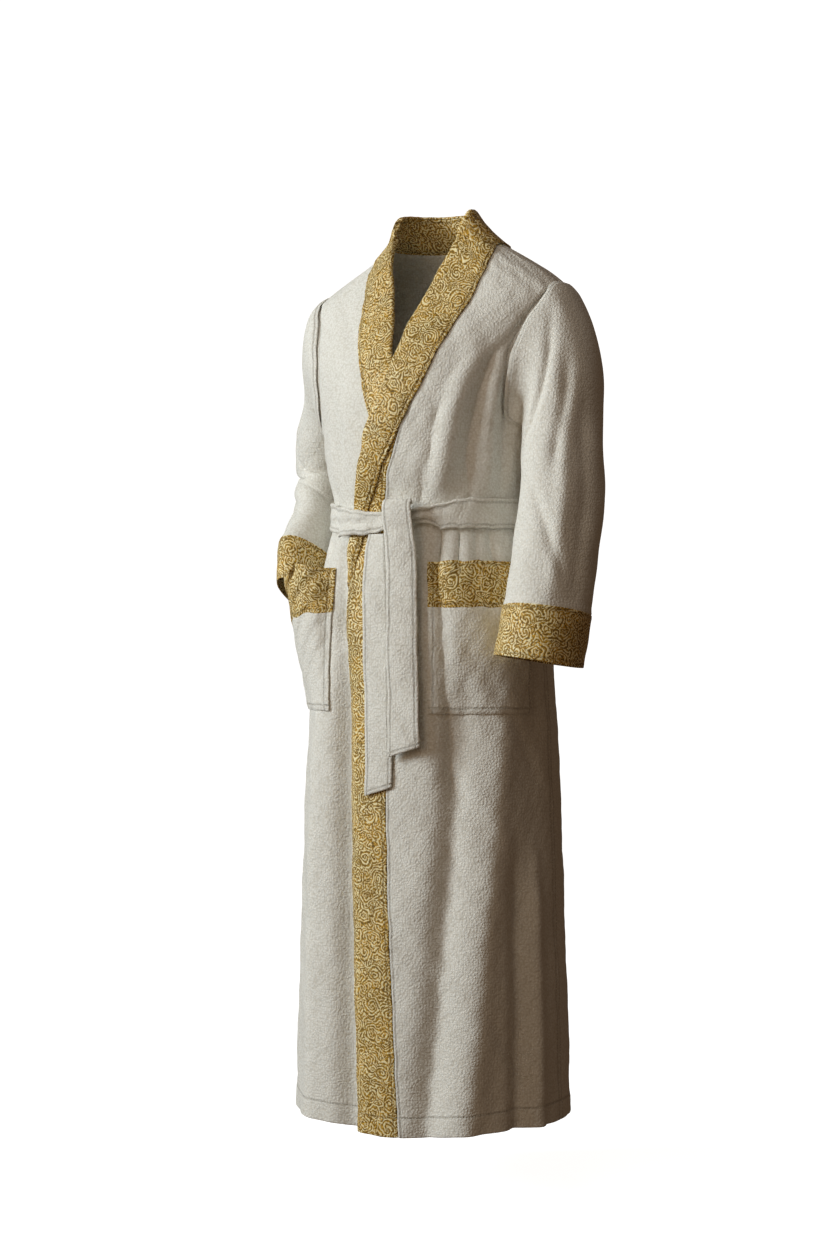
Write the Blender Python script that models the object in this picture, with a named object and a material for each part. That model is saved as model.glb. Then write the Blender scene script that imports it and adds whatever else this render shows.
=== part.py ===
"""A long wool dressing gown with brocade bands, as one closed wall of cloth for each sewn piece.

The gown keeps the hollow shape it has when worn: it faces -Y, its own left is +X, +Z is up, and the
origin lies on its upright axis at the height of the two neck points. Every place on the body is given
by a turn (degrees, 0 at the left side, 90 at the front, 180 at the right side, 270 at the back), a
height and a rise (how far the cloth lies outside the body form).
"""

import bmesh
import bpy
import numpy as np

# Driving sizes, in metres.
CLOTH = 0.002
SEAM = 0.0003
LAYER_GAP = 0.0012
HEM = -1.387
UNDERARM = -0.298
SHOULDER_TIP = -0.082
NECK_SEAM = -0.004
ARM_MIDDLE = -0.190
ARM_HALF_HEIGHT = 0.108
ARM_TURN_FRONT = 35.0
ARM_TURN_BACK = 30.0
ARM_LAP = 0.008
ARM_RISE = 0.0056
POCKET_HEIGHT = 0.231
POCKET_BAND = 0.068
SQUARENESS = 2.2
FRONT_STEPS = 15
BACK_STEPS = 21
EDGE_BLEND = 8.0

# Level sections of the body form. Middle is how far back the centre lies, side how far left.
SECTION_COLUMNS = ("height", "half_width", "front", "back", "middle", "side")
SECTIONS = (
    (-1.387, 0.2245, 0.1720, 0.1672, 0.000, 0.000),
    (-1.210, 0.2206, 0.1682, 0.1633, 0.000, 0.000),
    (-1.050, 0.2145, 0.1638, 0.1589, 0.000, 0.000),
    (-0.888, 0.2096, 0.1593, 0.1544, 0.000, 0.000),
    (-0.744, 0.2015, 0.1545, 0.1487, 0.002, 0.000),
    (-0.600, 0.1907, 0.1482, 0.1324, 0.003, 0.000),
    (-0.500, 0.1740, 0.1390, 0.1080, 0.005, 0.000),
    (-0.434, 0.1600, 0.1270, 0.0920, 0.006, 0.000),
    (-0.360, 0.1750, 0.1440, 0.0970, 0.010, 0.000),
    (-0.300, 0.1820, 0.1530, 0.1010, 0.015, 0.000),
    (-0.250, 0.1960, 0.1560, 0.1020, 0.020, 0.000),
    (-0.190, 0.2120, 0.1490, 0.1010, 0.026, 0.001),
    (-0.130, 0.2240, 0.1180, 0.1000, 0.028, 0.004),
    (-0.088, 0.2200, 0.0940, 0.1000, 0.026, 0.009),
    (-0.055, 0.1780, 0.0760, 0.0960, 0.020, 0.017),
    (-0.025, 0.1290, 0.0550, 0.0880, 0.014, 0.020),
    (0.000, 0.0920, 0.0380, 0.0760, 0.008, 0.016),
    (0.030, 0.0680, 0.0280, 0.0680, 0.002, 0.008),
    (0.055, 0.0560, 0.0200, 0.0620, 0.000, 0.004),
)

# How far the hem rises or dips from its level, round the body.
HEM_COLUMNS = ("turn", "lift")
HEM_LINE = (
    (-200.0, 0.013),
    (-90.0, 0.008),
    (-20.0, 0.012),
    (12.0, 0.011),
    (37.0, 0.009),
    (53.0, 0.006),
    (68.0, -0.001),
    (97.0, -0.002),
    (112.0, 0.004),
    (128.0, 0.008),
    (160.0, 0.013),
    (270.0, 0.008),
    (340.0, 0.012),
    (380.0, 0.011),
)

# The left front's leading edge, and the seam between its band and the wool.
LEAD_COLUMNS = ("height", "lead_turn", "seam_turn")
LEFT_LEAD = (
    (-1.387, 98.9, 81.4),
    (-1.187, 102.0, 84.2),
    (-1.033, 104.6, 86.6),
    (-0.879, 107.0, 88.0),
    (-0.725, 110.2, 89.2),
    (-0.569, 113.0, 91.4),
    (-0.467, 114.2, 94.8),
    (-0.419, 113.4, 95.4),
    (-0.379, 107.8, 91.9),
    (-0.319, 101.8, 85.4),
    (-0.277, 96.4, 80.0),
    (-0.230, 90.4, 76.6),
    (-0.189, 86.7, 73.8),
    (-0.149, 85.8, 71.2),
    (-0.115, 84.8, 69.0),
    (-0.083, 83.2, 66.4),
    (-0.059, 81.0, 62.0),
    (-0.037, 77.6, 54.0),
    (-0.018, 71.4, 38.0),
    (-0.004, 63.6, 8.0),
)
RIGHT_LEAD = (
    (-1.387, 72.0, 86.5),
    (-1.033, 71.0, 86.0),
    (-0.725, 69.0, 85.0),
    (-0.569, 67.0, 85.5),
    (-0.467, 64.5, 83.5),
    (-0.419, 65.0, 84.0),
    (-0.379, 69.0, 87.0),
    (-0.319, 77.5, 93.5),
    (-0.277, 82.5, 97.0),
    (-0.230, 88.0, 101.0),
    (-0.189, 92.6, 104.6),
    (-0.149, 95.3, 107.4),
    (-0.115, 98.5, 109.6),
    (-0.083, 102.6, 112.0),
    (-0.059, 108.8, 116.2),
    (-0.037, 117.6, 126.0),
    (-0.018, 128.0, 145.0),
    (-0.004, 137.0, 174.0),
)

# The shawl collar's left half: where it rolls over, and where its free edge lies.
COLLAR_COLUMNS = ("roll_height", "roll_turn", "free_height", "free_turn")
LEFT_COLLAR = (
    (-0.530, 113.6, -0.536, 110.4),
    (-0.500, 114.2, -0.507, 109.2),
    (-0.467, 114.2, -0.475, 107.9),
    (-0.419, 113.4, -0.429, 106.4),
    (-0.379, 107.8, -0.392, 99.4),
    (-0.319, 101.8, -0.336, 89.3),
    (-0.277, 96.4, -0.298, 82.7),
    (-0.230, 90.4, -0.253, 76.6),
    (-0.189, 86.7, -0.214, 72.3),
    (-0.149, 85.8, -0.176, 69.2),
    (-0.115, 84.8, -0.142, 67.1),
    (-0.083, 83.2, -0.114, 65.5),
    (-0.055, 80.6, -0.092, 64.2),
    (-0.028, 75.2, -0.071, 61.3),
    (-0.004, 63.6, -0.052, 55.5),
    (0.014, 52.0, -0.034, 47.5),
    (0.030, 36.0, -0.017, 33.0),
    (0.042, 14.0, -0.008, 12.0),
    (0.048, -14.0, -0.008, -15.0),
    (0.050, -46.0, -0.013, -46.5),
    (0.050, -68.0, -0.017, -68.2),
    (0.050, -89.9, -0.019, -89.9),
)
RIGHT_COLLAR = (
    (-0.325, 76.8, -0.330, 84.0),
    (-0.300, 79.8, -0.313, 94.0),
    (-0.277, 82.5, -0.296, 99.3),
    (-0.230, 88.0, -0.253, 103.6),
    (-0.189, 92.6, -0.214, 106.0),
    (-0.149, 95.3, -0.176, 109.1),
    (-0.115, 98.5, -0.142, 111.4),
    (-0.083, 102.6, -0.112, 112.9),
    (-0.055, 110.0, -0.088, 115.0),
    (-0.028, 122.5, -0.068, 120.5),
    (-0.004, 137.0, -0.048, 129.5),
    (0.014, 149.0, -0.030, 141.0),
    (0.030, 162.0, -0.016, 156.0),
    (0.042, 177.0, -0.008, 173.0),
    (0.048, 200.0, -0.008, 198.0),
    (0.050, 228.0, -0.013, 227.5),
    (0.050, 250.0, -0.017, 249.8),
    (0.050, 269.9, -0.019, 269.9),
)

# Across the collar: distance past the roll edge, then shares of the way to the free edge.
FOLD_COLUMNS = ("past_edge", "share", "inner_rise", "outer_rise", "outer_past")
COLLAR_FOLD = (
    (0.0016, 0.00, 0.0000, -0.0002, 0.0036),
    (0.0027, 0.00, 0.0026, 0.0029, 0.0055),
    (0.0010, 0.00, 0.0050, 0.0070, 0.0034),
    (0.0000, 0.08, 0.0056, 0.0080, 0.0000),
    (0.0000, 0.35, 0.0056, 0.0078, 0.0000),
    (0.0000, 0.68, 0.0058, 0.0078, 0.0000),
    (0.0000, 1.00, 0.0060, 0.0080, 0.0000),
)

# Long soft folds of the body: a line from its upper to its lower end, troughs below zero.
PLEAT_COLUMNS = (
    "upper_height",
    "upper_turn",
    "lower_height",
    "lower_turn",
    "depth",
    "half_width",
)
PLEATS = (
    (-0.090, 25.0, -0.210, 40.0, -0.0040, 0.012),
    (-0.120, 50.0, -0.300, 60.0, -0.0060, 0.016),
    (-0.220, 38.0, -0.400, 50.0, -0.0050, 0.015),
    (-0.330, 64.0, -0.425, 62.0, -0.0060, 0.011),
    (-0.330, 34.0, -0.425, 36.0, -0.0055, 0.011),
    (-0.200, 122.0, -0.415, 128.0, -0.0050, 0.016),
    (-0.330, 152.0, -0.425, 148.0, -0.0045, 0.012),
    (-0.445, 65.0, -0.560, 66.0, -0.0070, 0.012),
    (-0.445, 36.0, -0.540, 30.0, -0.0060, 0.012),
    (-0.445, 126.0, -0.600, 124.0, -0.0070, 0.013),
    (-0.540, 63.0, -1.387, 66.0, -0.0090, 0.030),
    (-0.640, 44.0, -1.387, 42.0, 0.0070, 0.030),
    (-0.640, 22.0, -1.387, 20.0, -0.0070, 0.026),
    (-0.600, 118.0, -1.387, 116.0, -0.0060, 0.022),
    (-0.640, 142.0, -1.387, 140.0, 0.0060, 0.028),
    (-0.700, 162.0, -1.387, 160.0, -0.0060, 0.026),
    (-0.445, 226.0, -1.387, 224.0, -0.0100, 0.028),
    (-0.445, 254.0, -1.387, 252.0, 0.0070, 0.030),
    (-0.445, 284.0, -1.387, 284.0, -0.0080, 0.030),
    (-0.445, 312.0, -1.387, 314.0, -0.0080, 0.028),
    (-0.140, 296.0, -0.425, 290.0, -0.0060, 0.022),
    (-0.140, 244.0, -0.425, 250.0, -0.0060, 0.022),
    (-0.330, 270.0, -0.425, 270.0, -0.0050, 0.016),
)

# Rings of the sleeves, armhole to wrist. Outward tips up by tilt, forward is square to it; slope
# raises the front of a ring. Armhole is the share of the armhole's own outline that a ring keeps.
RING_COLUMNS = ("x", "y", "height", "out", "fore", "tilt", "slope", "armhole")
LEFT_SLEEVE = (
    (0.2140, 0.020, -0.200, 0.098, 0.076, 64.0, 0.0, 0.62),
    (0.2240, 0.014, -0.222, 0.082, 0.078, 50.0, 0.0, 0.24),
    (0.2300, 0.004, -0.254, 0.070, 0.077, 33.0, 0.0, 0.05),
    (0.2350, -0.010, -0.300, 0.060, 0.074, 16.0, 3.0, 0.0),
    (0.2415, -0.026, -0.348, 0.060, 0.071, 6.0, 6.0, 0.0),
    (0.2490, -0.042, -0.400, 0.062, 0.069, 2.0, 10.0, 0.0),
    (0.2520, -0.058, -0.452, 0.063, 0.068, 0.0, 12.0, 0.0),
    (0.2515, -0.074, -0.504, 0.063, 0.067, 0.0, 12.0, 0.0),
    (0.2505, -0.090, -0.554, 0.063, 0.066, -2.0, 10.0, 0.0),
    (0.2495, -0.101, -0.594, 0.063, 0.066, -4.0, 8.0, 0.0),
    (0.2480, -0.1120, -0.632, 0.063, 0.066, -6.0, 6.0, 0.0),
    (0.2465, -0.1200, -0.662, 0.063, 0.066, -7.0, 5.0, 0.0),
)
RIGHT_SLEEVE = (
    (0.2120, 0.030, -0.200, 0.090, 0.074, 64.0, 0.0, 0.62),
    (0.2140, 0.045, -0.222, 0.068, 0.072, 50.0, -6.0, 0.24),
    (0.2170, 0.064, -0.252, 0.050, 0.070, 33.0, -14.0, 0.05),
    (0.2365, 0.085, -0.292, 0.055, 0.070, 16.0, -18.0, 0.0),
    (0.2479, 0.105, -0.336, 0.056, 0.070, 6.0, -10.0, 0.0),
    (0.2452, 0.108, -0.376, 0.050, 0.076, 0.0, 12.0, 0.0),
    (0.2445, 0.088, -0.414, 0.047, 0.080, 0.0, 26.0, 0.0),
    (0.2320, 0.060, -0.448, 0.044, 0.080, 0.0, 31.0, 0.0),
    (0.2310, 0.030, -0.482, 0.042, 0.080, 0.0, 31.0, 0.0),
    (0.2305, 0.008, -0.508, 0.039, 0.079, 0.0, 28.0, 0.0),
    (0.2250, -0.009, -0.538, 0.033, 0.077, 0.0, 26.0, 0.0),
    (0.2220, -0.024, -0.564, 0.029, 0.073, 0.0, 26.0, 0.0),
)
CUFF_RINGS = 3

# Creases of the sleeves: from one ring and turn to another, with their depth.
CREASE_COLUMNS = ("from_ring", "from_turn", "to_ring", "to_turn", "depth", "half_width")
LEFT_CREASES = (
    (1.5, 60.0, 6.5, 100.0, -0.0050, 0.013),
    (2.0, 25.0, 7.0, 50.0, -0.0045, 0.014),
    (4.5, 120.0, 9.0, 60.0, -0.0040, 0.012),
    (2.0, 290.0, 7.0, 300.0, -0.0050, 0.014),
)
RIGHT_CREASES = (
    (2.0, 60.0, 5.0, 40.0, -0.0045, 0.012),
    (5.4, 10.0, 6.4, 90.0, -0.0070, 0.010),
    (6.6, 20.0, 8.6, 80.0, -0.0045, 0.010),
    (2.0, 290.0, 6.0, 300.0, -0.0050, 0.014),
)

# The belt round the waist.
BELT_COLUMNS = ("turn", "top", "bottom", "rise")
BELT = (
    (-180.0, -0.412, -0.458, 0.0044),
    (-90.0, -0.412, -0.458, 0.0044),
    (0.0, -0.412, -0.458, 0.0044),
    (30.0, -0.412, -0.458, 0.0044),
    (38.0, -0.412, -0.458, 0.0060),
    (48.0, -0.413, -0.459, 0.0084),
    (60.0, -0.418, -0.459, 0.0096),
    (76.0, -0.429, -0.450, 0.0100),
    (88.0, -0.430, -0.452, 0.0104),
    (97.0, -0.428, -0.458, 0.0134),
    (106.0, -0.426, -0.462, 0.0152),
    (117.0, -0.422, -0.464, 0.0158),
    (128.0, -0.420, -0.460, 0.0112),
    (142.0, -0.416, -0.454, 0.0058),
    (160.0, -0.412, -0.456, 0.0046),
    (180.0, -0.412, -0.458, 0.0044),
)

# The two hanging ends of the belt: each row is a level line across, between two widths from the middle.
TAIL_COLUMNS = ("height", "inner_x", "outer_x", "rise", "drop")
FRONT_TAIL = (
    (-0.4215, 0.003, 0.042, 0.0225, 0.0),
    (-0.4170, 0.000, 0.044, 0.0290, 0.0),
    (-0.4230, -0.001, 0.045, 0.0332, 0.0),
    (-0.4420, 0.000, 0.047, 0.0344, 0.0),
    (-0.4660, 0.003, 0.049, 0.0320, 0.0),
    (-0.4900, 0.006, 0.052, 0.0250, 0.0),
    (-0.5200, 0.008, 0.054, 0.0190, 0.0),
    (-0.5700, 0.010, 0.057, 0.0160, 0.0),
    (-0.6400, 0.012, 0.060, 0.0150, 0.0),
    (-0.7100, 0.015, 0.064, 0.0150, 0.0),
    (-0.7700, 0.017, 0.067, 0.0150, 0.004),
    (-0.7930, 0.017, 0.068, 0.0150, 0.016),
)
BACK_TAIL = (
    (-0.4680, -0.036, -0.003, 0.0140, 0.0),
    (-0.4950, -0.041, 0.000, 0.0110, 0.0),
    (-0.5400, -0.041, 0.004, 0.0088, 0.0),
    (-0.6000, -0.038, 0.008, 0.0080, 0.0),
    (-0.6700, -0.035, 0.012, 0.0080, 0.0),
    (-0.7400, -0.031, 0.015, 0.0080, 0.0),
    (-0.8100, -0.028, 0.017, 0.0080, 0.0),
    (-0.8450, -0.027, 0.018, 0.0080, 0.004),
    (-0.8560, -0.027, 0.018, 0.0080, 0.014),
)

CREAM = (0.80, 0.76, 0.68, 1.0)
GOLD = (0.58, 0.42, 0.14, 1.0)


def column(rows, names, name):
    """One named column of a table."""
    return np.array([row[names.index(name)] for row in rows], float)


def soft(rows, names, key, name, at):
    """A column as a smooth curve through its rows, read at given values of the key column."""
    keys = column(rows, names, key)
    values = column(rows, names, name)
    slopes = np.gradient(values, keys)
    at = np.asarray(at, float)
    i = np.clip(np.searchsorted(keys, at) - 1, 0, len(keys) - 2)
    gap = keys[i + 1] - keys[i]
    u = np.clip((at - keys[i]) / gap, 0.0, 1.0)
    start = (1 + 2 * u) * (1 - u) ** 2 * values[i] + u * (1 - u) ** 2 * gap * slopes[i]
    end = u * u * (3 - 2 * u) * values[i + 1] + u * u * (u - 1) * gap * slopes[i + 1]
    return start + end


def ease(low, high, at):
    """0 below low, 1 above high, smooth between."""
    u = np.clip((np.asarray(at, float) - low) / (high - low), 0.0, 1.0)
    return u * u * (3 - 2 * u)


def pleat_depth(turn, height):
    """How far the body's folds push its cloth out, or in where below zero."""
    total = np.zeros(np.broadcast(turn, height).shape)
    for upper, upper_turn, lower, lower_turn, depth, half in PLEATS:
        along = (upper - height) / (upper - lower)
        middle = upper_turn + (lower_turn - upper_turn) * np.clip(along, 0, 1)
        off = (turn - middle + 180) % 360 - 180
        off = np.radians(off) * 0.17 / half
        fade = ease(0.0, 0.3, along)
        if lower > HEM:
            fade = fade * ease(0.0, 0.3, 1 - along)
        total = total + depth * fade * np.exp(-off * off)
    return total


def form(turn, height):
    """A point of the body form."""
    half = soft(SECTIONS, SECTION_COLUMNS, "height", "half_width", height)
    front = soft(SECTIONS, SECTION_COLUMNS, "height", "front", height)
    back = soft(SECTIONS, SECTION_COLUMNS, "height", "back", height)
    middle = soft(SECTIONS, SECTION_COLUMNS, "height", "middle", height)
    angle = np.radians(turn)
    c, s = np.cos(angle), np.sin(angle)
    stretch = (np.abs(c) ** SQUARENESS + np.abs(s) ** SQUARENESS) ** (-1 / SQUARENESS)
    depth = np.where(s > 0, front, back)
    out = pleat_depth(turn, height)
    side = soft(SECTIONS, SECTION_COLUMNS, "height", "side", height)
    x = side + (half + out) * c * stretch
    y = middle - (depth + out) * s * stretch
    return np.stack([x, y, height + 0 * x], -1)


def normal(turn, height):
    """The form's outward direction."""
    across = form(turn + 0.5, height) - form(turn - 0.5, height)
    up = form(turn, height + 0.002) - form(turn, height - 0.002)
    out = np.cross(up, across)
    return out / np.linalg.norm(out, axis=-1, keepdims=True)


def place(turn, height, rise):
    """A point of the cloth that lies a rise outside the form."""
    turn, height, rise = np.broadcast_arrays(turn, height, rise)
    turn = turn.astype(float)
    height = height.astype(float)
    return form(turn, height) + rise[..., None] * normal(turn, height)


def lead(rows, name, height):
    return soft(rows, LEAD_COLUMNS, "height", name, height)


def wrap_lift(turn, height):
    """How far the left front stands off the form where the right front lies under it."""
    below_crossing = ease(-0.09, -0.17, height)
    over_front = 0.0048 * ease(38.0, 56.0, turn)
    over_collar = 0.0044 * ease(50.0, 72.0, turn) * ease(-0.43, -0.36, height)
    return below_crossing * (over_front + over_collar)


def seam_turn(height, gap=SEAM):
    """Half a seam's gap as a turn, beside the form's two sides."""
    depth = soft(SECTIONS, SECTION_COLUMNS, "height", "front", height)
    return np.degrees(gap / 2 / depth)


def armhole_turn(height, widest):
    """How far round from the side the armhole reaches at a height."""
    share = np.clip((height - ARM_MIDDLE) / ARM_HALF_HEIGHT, -1, 1)
    return widest * (1 - share * share) ** 0.25


def build_mesh(name, points, faces, surface):
    mesh = bpy.data.meshes.new(name)
    mesh.from_pydata([tuple(p) for p in points], [], faces)
    mesh.materials.append(surface)
    mesh.update()
    work = bmesh.new()
    work.from_mesh(mesh)
    bmesh.ops.recalc_face_normals(work, faces=work.faces)
    work.to_mesh(mesh)
    work.free()
    mesh.shade_smooth()
    mesh.set_sharp_from_angle(angle=np.radians(40))
    made = bpy.data.objects.new(name, mesh)
    GOWN.objects.link(made)
    return made


def wall(name, inner, outer, surface, ring=False):
    """A closed wall of cloth between two grids of points, open at its ends or round like a ring."""
    rows, columns = inner.shape[:2]
    points = np.concatenate([inner.reshape(-1, 3), outer.reshape(-1, 3)])
    half = rows * columns
    faces = []
    steps = columns if ring else columns - 1

    def at(side, row, step):
        return side * half + row * columns + step % columns

    for row in range(rows - 1):
        for step in range(steps):
            for side in (0, 1):
                corners = [(row, step), (row, step + 1), (row + 1, step + 1), (row + 1, step)]
                faces.append([at(side, r, s) for r, s in corners])
    for row in (0, rows - 1):
        for step in range(steps):
            ends = [(0, step), (0, step + 1), (1, step + 1), (1, step)]
            faces.append([at(side, row, s) for side, s in ends])
    if not ring:
        for step in (0, columns - 1):
            for row in range(rows - 1):
                ends = [(0, row), (0, row + 1), (1, row + 1), (1, row)]
                faces.append([at(side, r, step) for side, r in ends])
    return build_mesh(name, points, faces, surface)


def hang(turn, height):
    """Heights near the hem, moved to the hem's own line."""
    lift = soft(HEM_LINE, HEM_COLUMNS, "turn", "lift", turn)
    return height + lift * ease(-1.20, HEM, height)


def push_in(turn, plain, edge, share):
    """Columns that start at a plain turn, moved so that they start at an edge, the nearest ones most."""
    def soft_step(past):
        return 0.5 * (past + np.sqrt(past * past + EDGE_BLEND ** 2))

    far = turn[:, -1:] - edge
    moved = edge + soft_step(turn - edge) - soft_step(plain - edge) * (1 - share)
    return moved - (soft_step(far) - far) * share


def body_panel(name, heights, plain, edges, steps, rise, surface):
    """A panel of level rows. Plain holds its two ends as if it had no armhole, edges the real ends."""
    share = np.linspace(0, 1, steps)
    plain_start, plain_end = plain[0][:, None], plain[1][:, None]
    turn = plain_start + (plain_end - plain_start) * share
    turn = push_in(turn, plain_start, edges[0][:, None], share)
    turn = -push_in(-turn[:, ::-1], -plain_end, -edges[1][:, None], share)[:, ::-1]
    height = hang(turn, heights[:, None] + 0 * turn)
    lift = rise(turn, height)
    inner = place(turn, height, lift)
    outer = place(turn, height, lift + CLOTH)
    return wall(name, inner, outer, surface)


def side_edge(height, widest):
    """The edge of a panel at the left side: side seam, armhole, then shoulder seam."""
    seam = seam_turn(height)
    inside = (height > UNDERARM) & (height < SHOULDER_TIP)
    return np.where(inside, np.maximum(armhole_turn(height, widest), seam), seam)


def flat_rise(turn, height):
    return 0.0 * turn


def body_heights(top):
    """The shared level rows, closer together where the form bends."""
    stops = [(HEM, 0), (-0.62, 11), (-0.40, 7), (UNDERARM, 3), (-0.294, 1), (-0.285, 1)]
    stops += [(-0.265, 1), (-0.115, 5), (SHOULDER_TIP, 2), (top, 5)]
    rows = [HEM]
    for (low, _), (high, count) in zip(stops, stops[1:]):
        rows += list(np.linspace(low, high, count + 1)[1:])
    return np.array(rows)


def make_back(surface):
    heights = body_heights(NECK_SEAM)
    seam = seam_turn(heights)
    edge = side_edge(heights, ARM_TURN_BACK)
    plain = (180 + seam, 360 - seam)
    body_panel("back", heights, plain, (180 + edge, 360 - edge), BACK_STEPS, flat_rise, surface)


def make_fronts(surface):
    heights = body_heights(-0.012)
    seam = seam_turn(heights)
    edge = side_edge(heights, ARM_TURN_FRONT)
    band = np.maximum(lead(LEFT_LEAD, "seam_turn", heights) - seam, edge + 1.5)
    body_panel("front_left", heights, (seam, band), (edge, band), FRONT_STEPS, wrap_lift, surface)
    band = np.minimum(lead(RIGHT_LEAD, "seam_turn", heights) + seam, 178.5 - edge)
    edges = (band, 180 - edge)
    body_panel("front_right", heights, (band, 180 - seam), edges, FRONT_STEPS, flat_rise, surface)


def make_band(name, leading, collar, sign, rise, surface):
    """The front band, hem to the neck, and on round the neck to the centre back as a stand."""
    heights = body_heights(-0.012)
    heights = heights[heights < -0.02]
    lead_turn = lead(leading, "lead_turn", heights)
    inner_turn = lead(leading, "seam_turn", heights) + sign * seam_turn(heights)
    roll = column(collar, COLLAR_COLUMNS, "roll_height")
    turns = column(collar, COLLAR_COLUMNS, "roll_turn")
    keep = roll > -0.02
    stand_roll, stand_turn = roll[keep], turns[keep]
    side = 0.0 if sign > 0 else 180.0
    back = -90.0 if sign > 0 else 270.0
    reach = np.linspace(0, 1, len(stand_roll))
    foot_turn = side + (stand_turn[-1] - side) * np.clip((reach - 0.16) / 0.84, 0, 1)
    foot_turn[reach < 0.16] = side + sign * 4.0
    low = np.concatenate([heights, np.full(len(stand_roll), NECK_SEAM + 0.0008)])
    high = np.concatenate([heights, stand_roll])
    start = np.concatenate([inner_turn, foot_turn])
    end = np.concatenate([lead_turn, stand_turn])
    share = np.linspace(0, 1, 5)
    turn = start[:, None] + (end - start)[:, None] * share
    height = hang(turn, low[:, None] + (high - low)[:, None] * share)
    lift = rise(turn, height)
    wall(name, place(turn, height, lift), place(turn, height, lift + CLOTH), surface)


def make_collar(name, rows, rise, surface):
    roll_height = column(rows, COLLAR_COLUMNS, "roll_height")[:, None]
    roll_turn = column(rows, COLLAR_COLUMNS, "roll_turn")[:, None]
    free_height = column(rows, COLLAR_COLUMNS, "free_height")[:, None]
    free_turn = column(rows, COLLAR_COLUMNS, "free_turn")[:, None]
    width = np.linalg.norm(form(roll_turn, roll_height) - form(free_turn, free_height), axis=-1)
    share = column(COLLAR_FOLD, FOLD_COLUMNS, "share")[None, :]
    grids = []
    for past_name, rise_name in (("past_edge", "inner_rise"), ("outer_past", "outer_rise")):
        past = column(COLLAR_FOLD, FOLD_COLUMNS, past_name)[None, :]
        up = column(COLLAR_FOLD, FOLD_COLUMNS, rise_name)[None, :]
        way = share - past / width
        turn = roll_turn + (free_turn - roll_turn) * way
        height = roll_height + (free_height - roll_height) * way
        under = rise(np.clip(turn, *sorted((roll_turn.min(), roll_turn.max() + 60))), height)
        grids.append(place(turn, height, under + up))
    wall(name, grids[0], grids[1], surface)


def clear_of_body(points, gap, mirror):
    """Points moved straight out from the upright axis until they lie a gap outside the body."""
    height = points[..., 2]
    half = soft(SECTIONS, SECTION_COLUMNS, "height", "half_width", height)
    front = soft(SECTIONS, SECTION_COLUMNS, "height", "front", height)
    back = soft(SECTIONS, SECTION_COLUMNS, "height", "back", height)
    middle = soft(SECTIONS, SECTION_COLUMNS, "height", "middle", height)
    side = mirror * soft(SECTIONS, SECTION_COLUMNS, "height", "side", height)
    x, y = points[..., 0] - side, points[..., 1] - middle
    turn = np.degrees(np.arctan2(-y / np.where(y < 0, front, back), x / half))
    edge = form(turn if mirror > 0 else 180 - turn, height)
    far = np.hypot(mirror * edge[..., 0] - side, edge[..., 1] - middle) + gap
    own = np.hypot(x, y)
    grow = np.maximum(1.0, far / own)
    return np.stack([side + x * grow, middle + y * grow, height], -1)


def armhole_ring(angle):
    """The sleeve's seam line: it laps a little over the panels round the armhole."""
    c, s = np.cos(angle), np.sin(angle)
    height = ARM_MIDDLE + (ARM_HALF_HEIGHT + ARM_LAP) * c
    widest = np.where(s > 0, ARM_TURN_FRONT + 3.0, ARM_TURN_BACK + 3.0)
    return np.sign(s) * widest * np.sqrt(np.abs(s)), height


def sleeve_grid(rows, creases, steps, mirror):
    """Rings of a left sleeve's inner face, armhole to wrist."""
    angle = np.linspace(0, 2 * np.pi, steps, endpoint=False)
    turn, height = armhole_ring(angle)
    start = place(turn if mirror > 0 else 180 - turn, height, ARM_RISE)
    start = start * np.array([mirror, 1.0, 1.0])
    rings = [start]
    for x, y, z, out, fore, tilt, slope, armhole in rows:
        tilt, slope = np.radians(tilt), np.radians(slope)
        outward = np.array([np.cos(tilt), 0.0, np.sin(tilt)])
        forward = np.array([0.0, -np.cos(slope), np.sin(slope)])
        ring = np.array([x, y, z]) + np.outer(np.cos(angle), out * outward)
        ring = ring + np.outer(np.sin(angle), fore * forward)
        rings.append(armhole * start + (1 - armhole) * ring)
    grid = np.array(rings)
    middle = grid.mean(axis=1, keepdims=True)
    outward = grid - middle
    outward = outward / np.linalg.norm(outward, axis=-1, keepdims=True)
    ring_no = np.arange(len(grid))[:, None]
    angle_deg = np.degrees(angle)[None, :]
    for from_ring, from_turn, to_ring, to_turn, depth, half in creases:
        along = (ring_no - from_ring) / (to_ring - from_ring)
        centre = from_turn + (to_turn - from_turn) * np.clip(along, 0, 1)
        off = (angle_deg - centre + 180) % 360 - 180
        off = np.radians(off) * 0.07 / half
        fade = ease(-0.15, 0.25, along) * ease(-0.15, 0.25, 1 - along)
        grid = grid + (depth * fade * np.exp(-off * off))[..., None] * outward
    gap = np.full((len(grid), 1), 2 * CLOTH + 2 * LAYER_GAP)
    gap[-CUFF_RINGS:] = 3 * CLOTH + 4 * LAYER_GAP
    grid[1:] = clear_of_body(grid[1:], gap[1:], mirror)
    return grid


def ring_normals(grid):
    around = np.roll(grid, -1, axis=1) - np.roll(grid, 1, axis=1)
    along = np.gradient(grid, axis=0)
    out = np.cross(around, along)
    return out / np.linalg.norm(out, axis=-1, keepdims=True)


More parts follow.
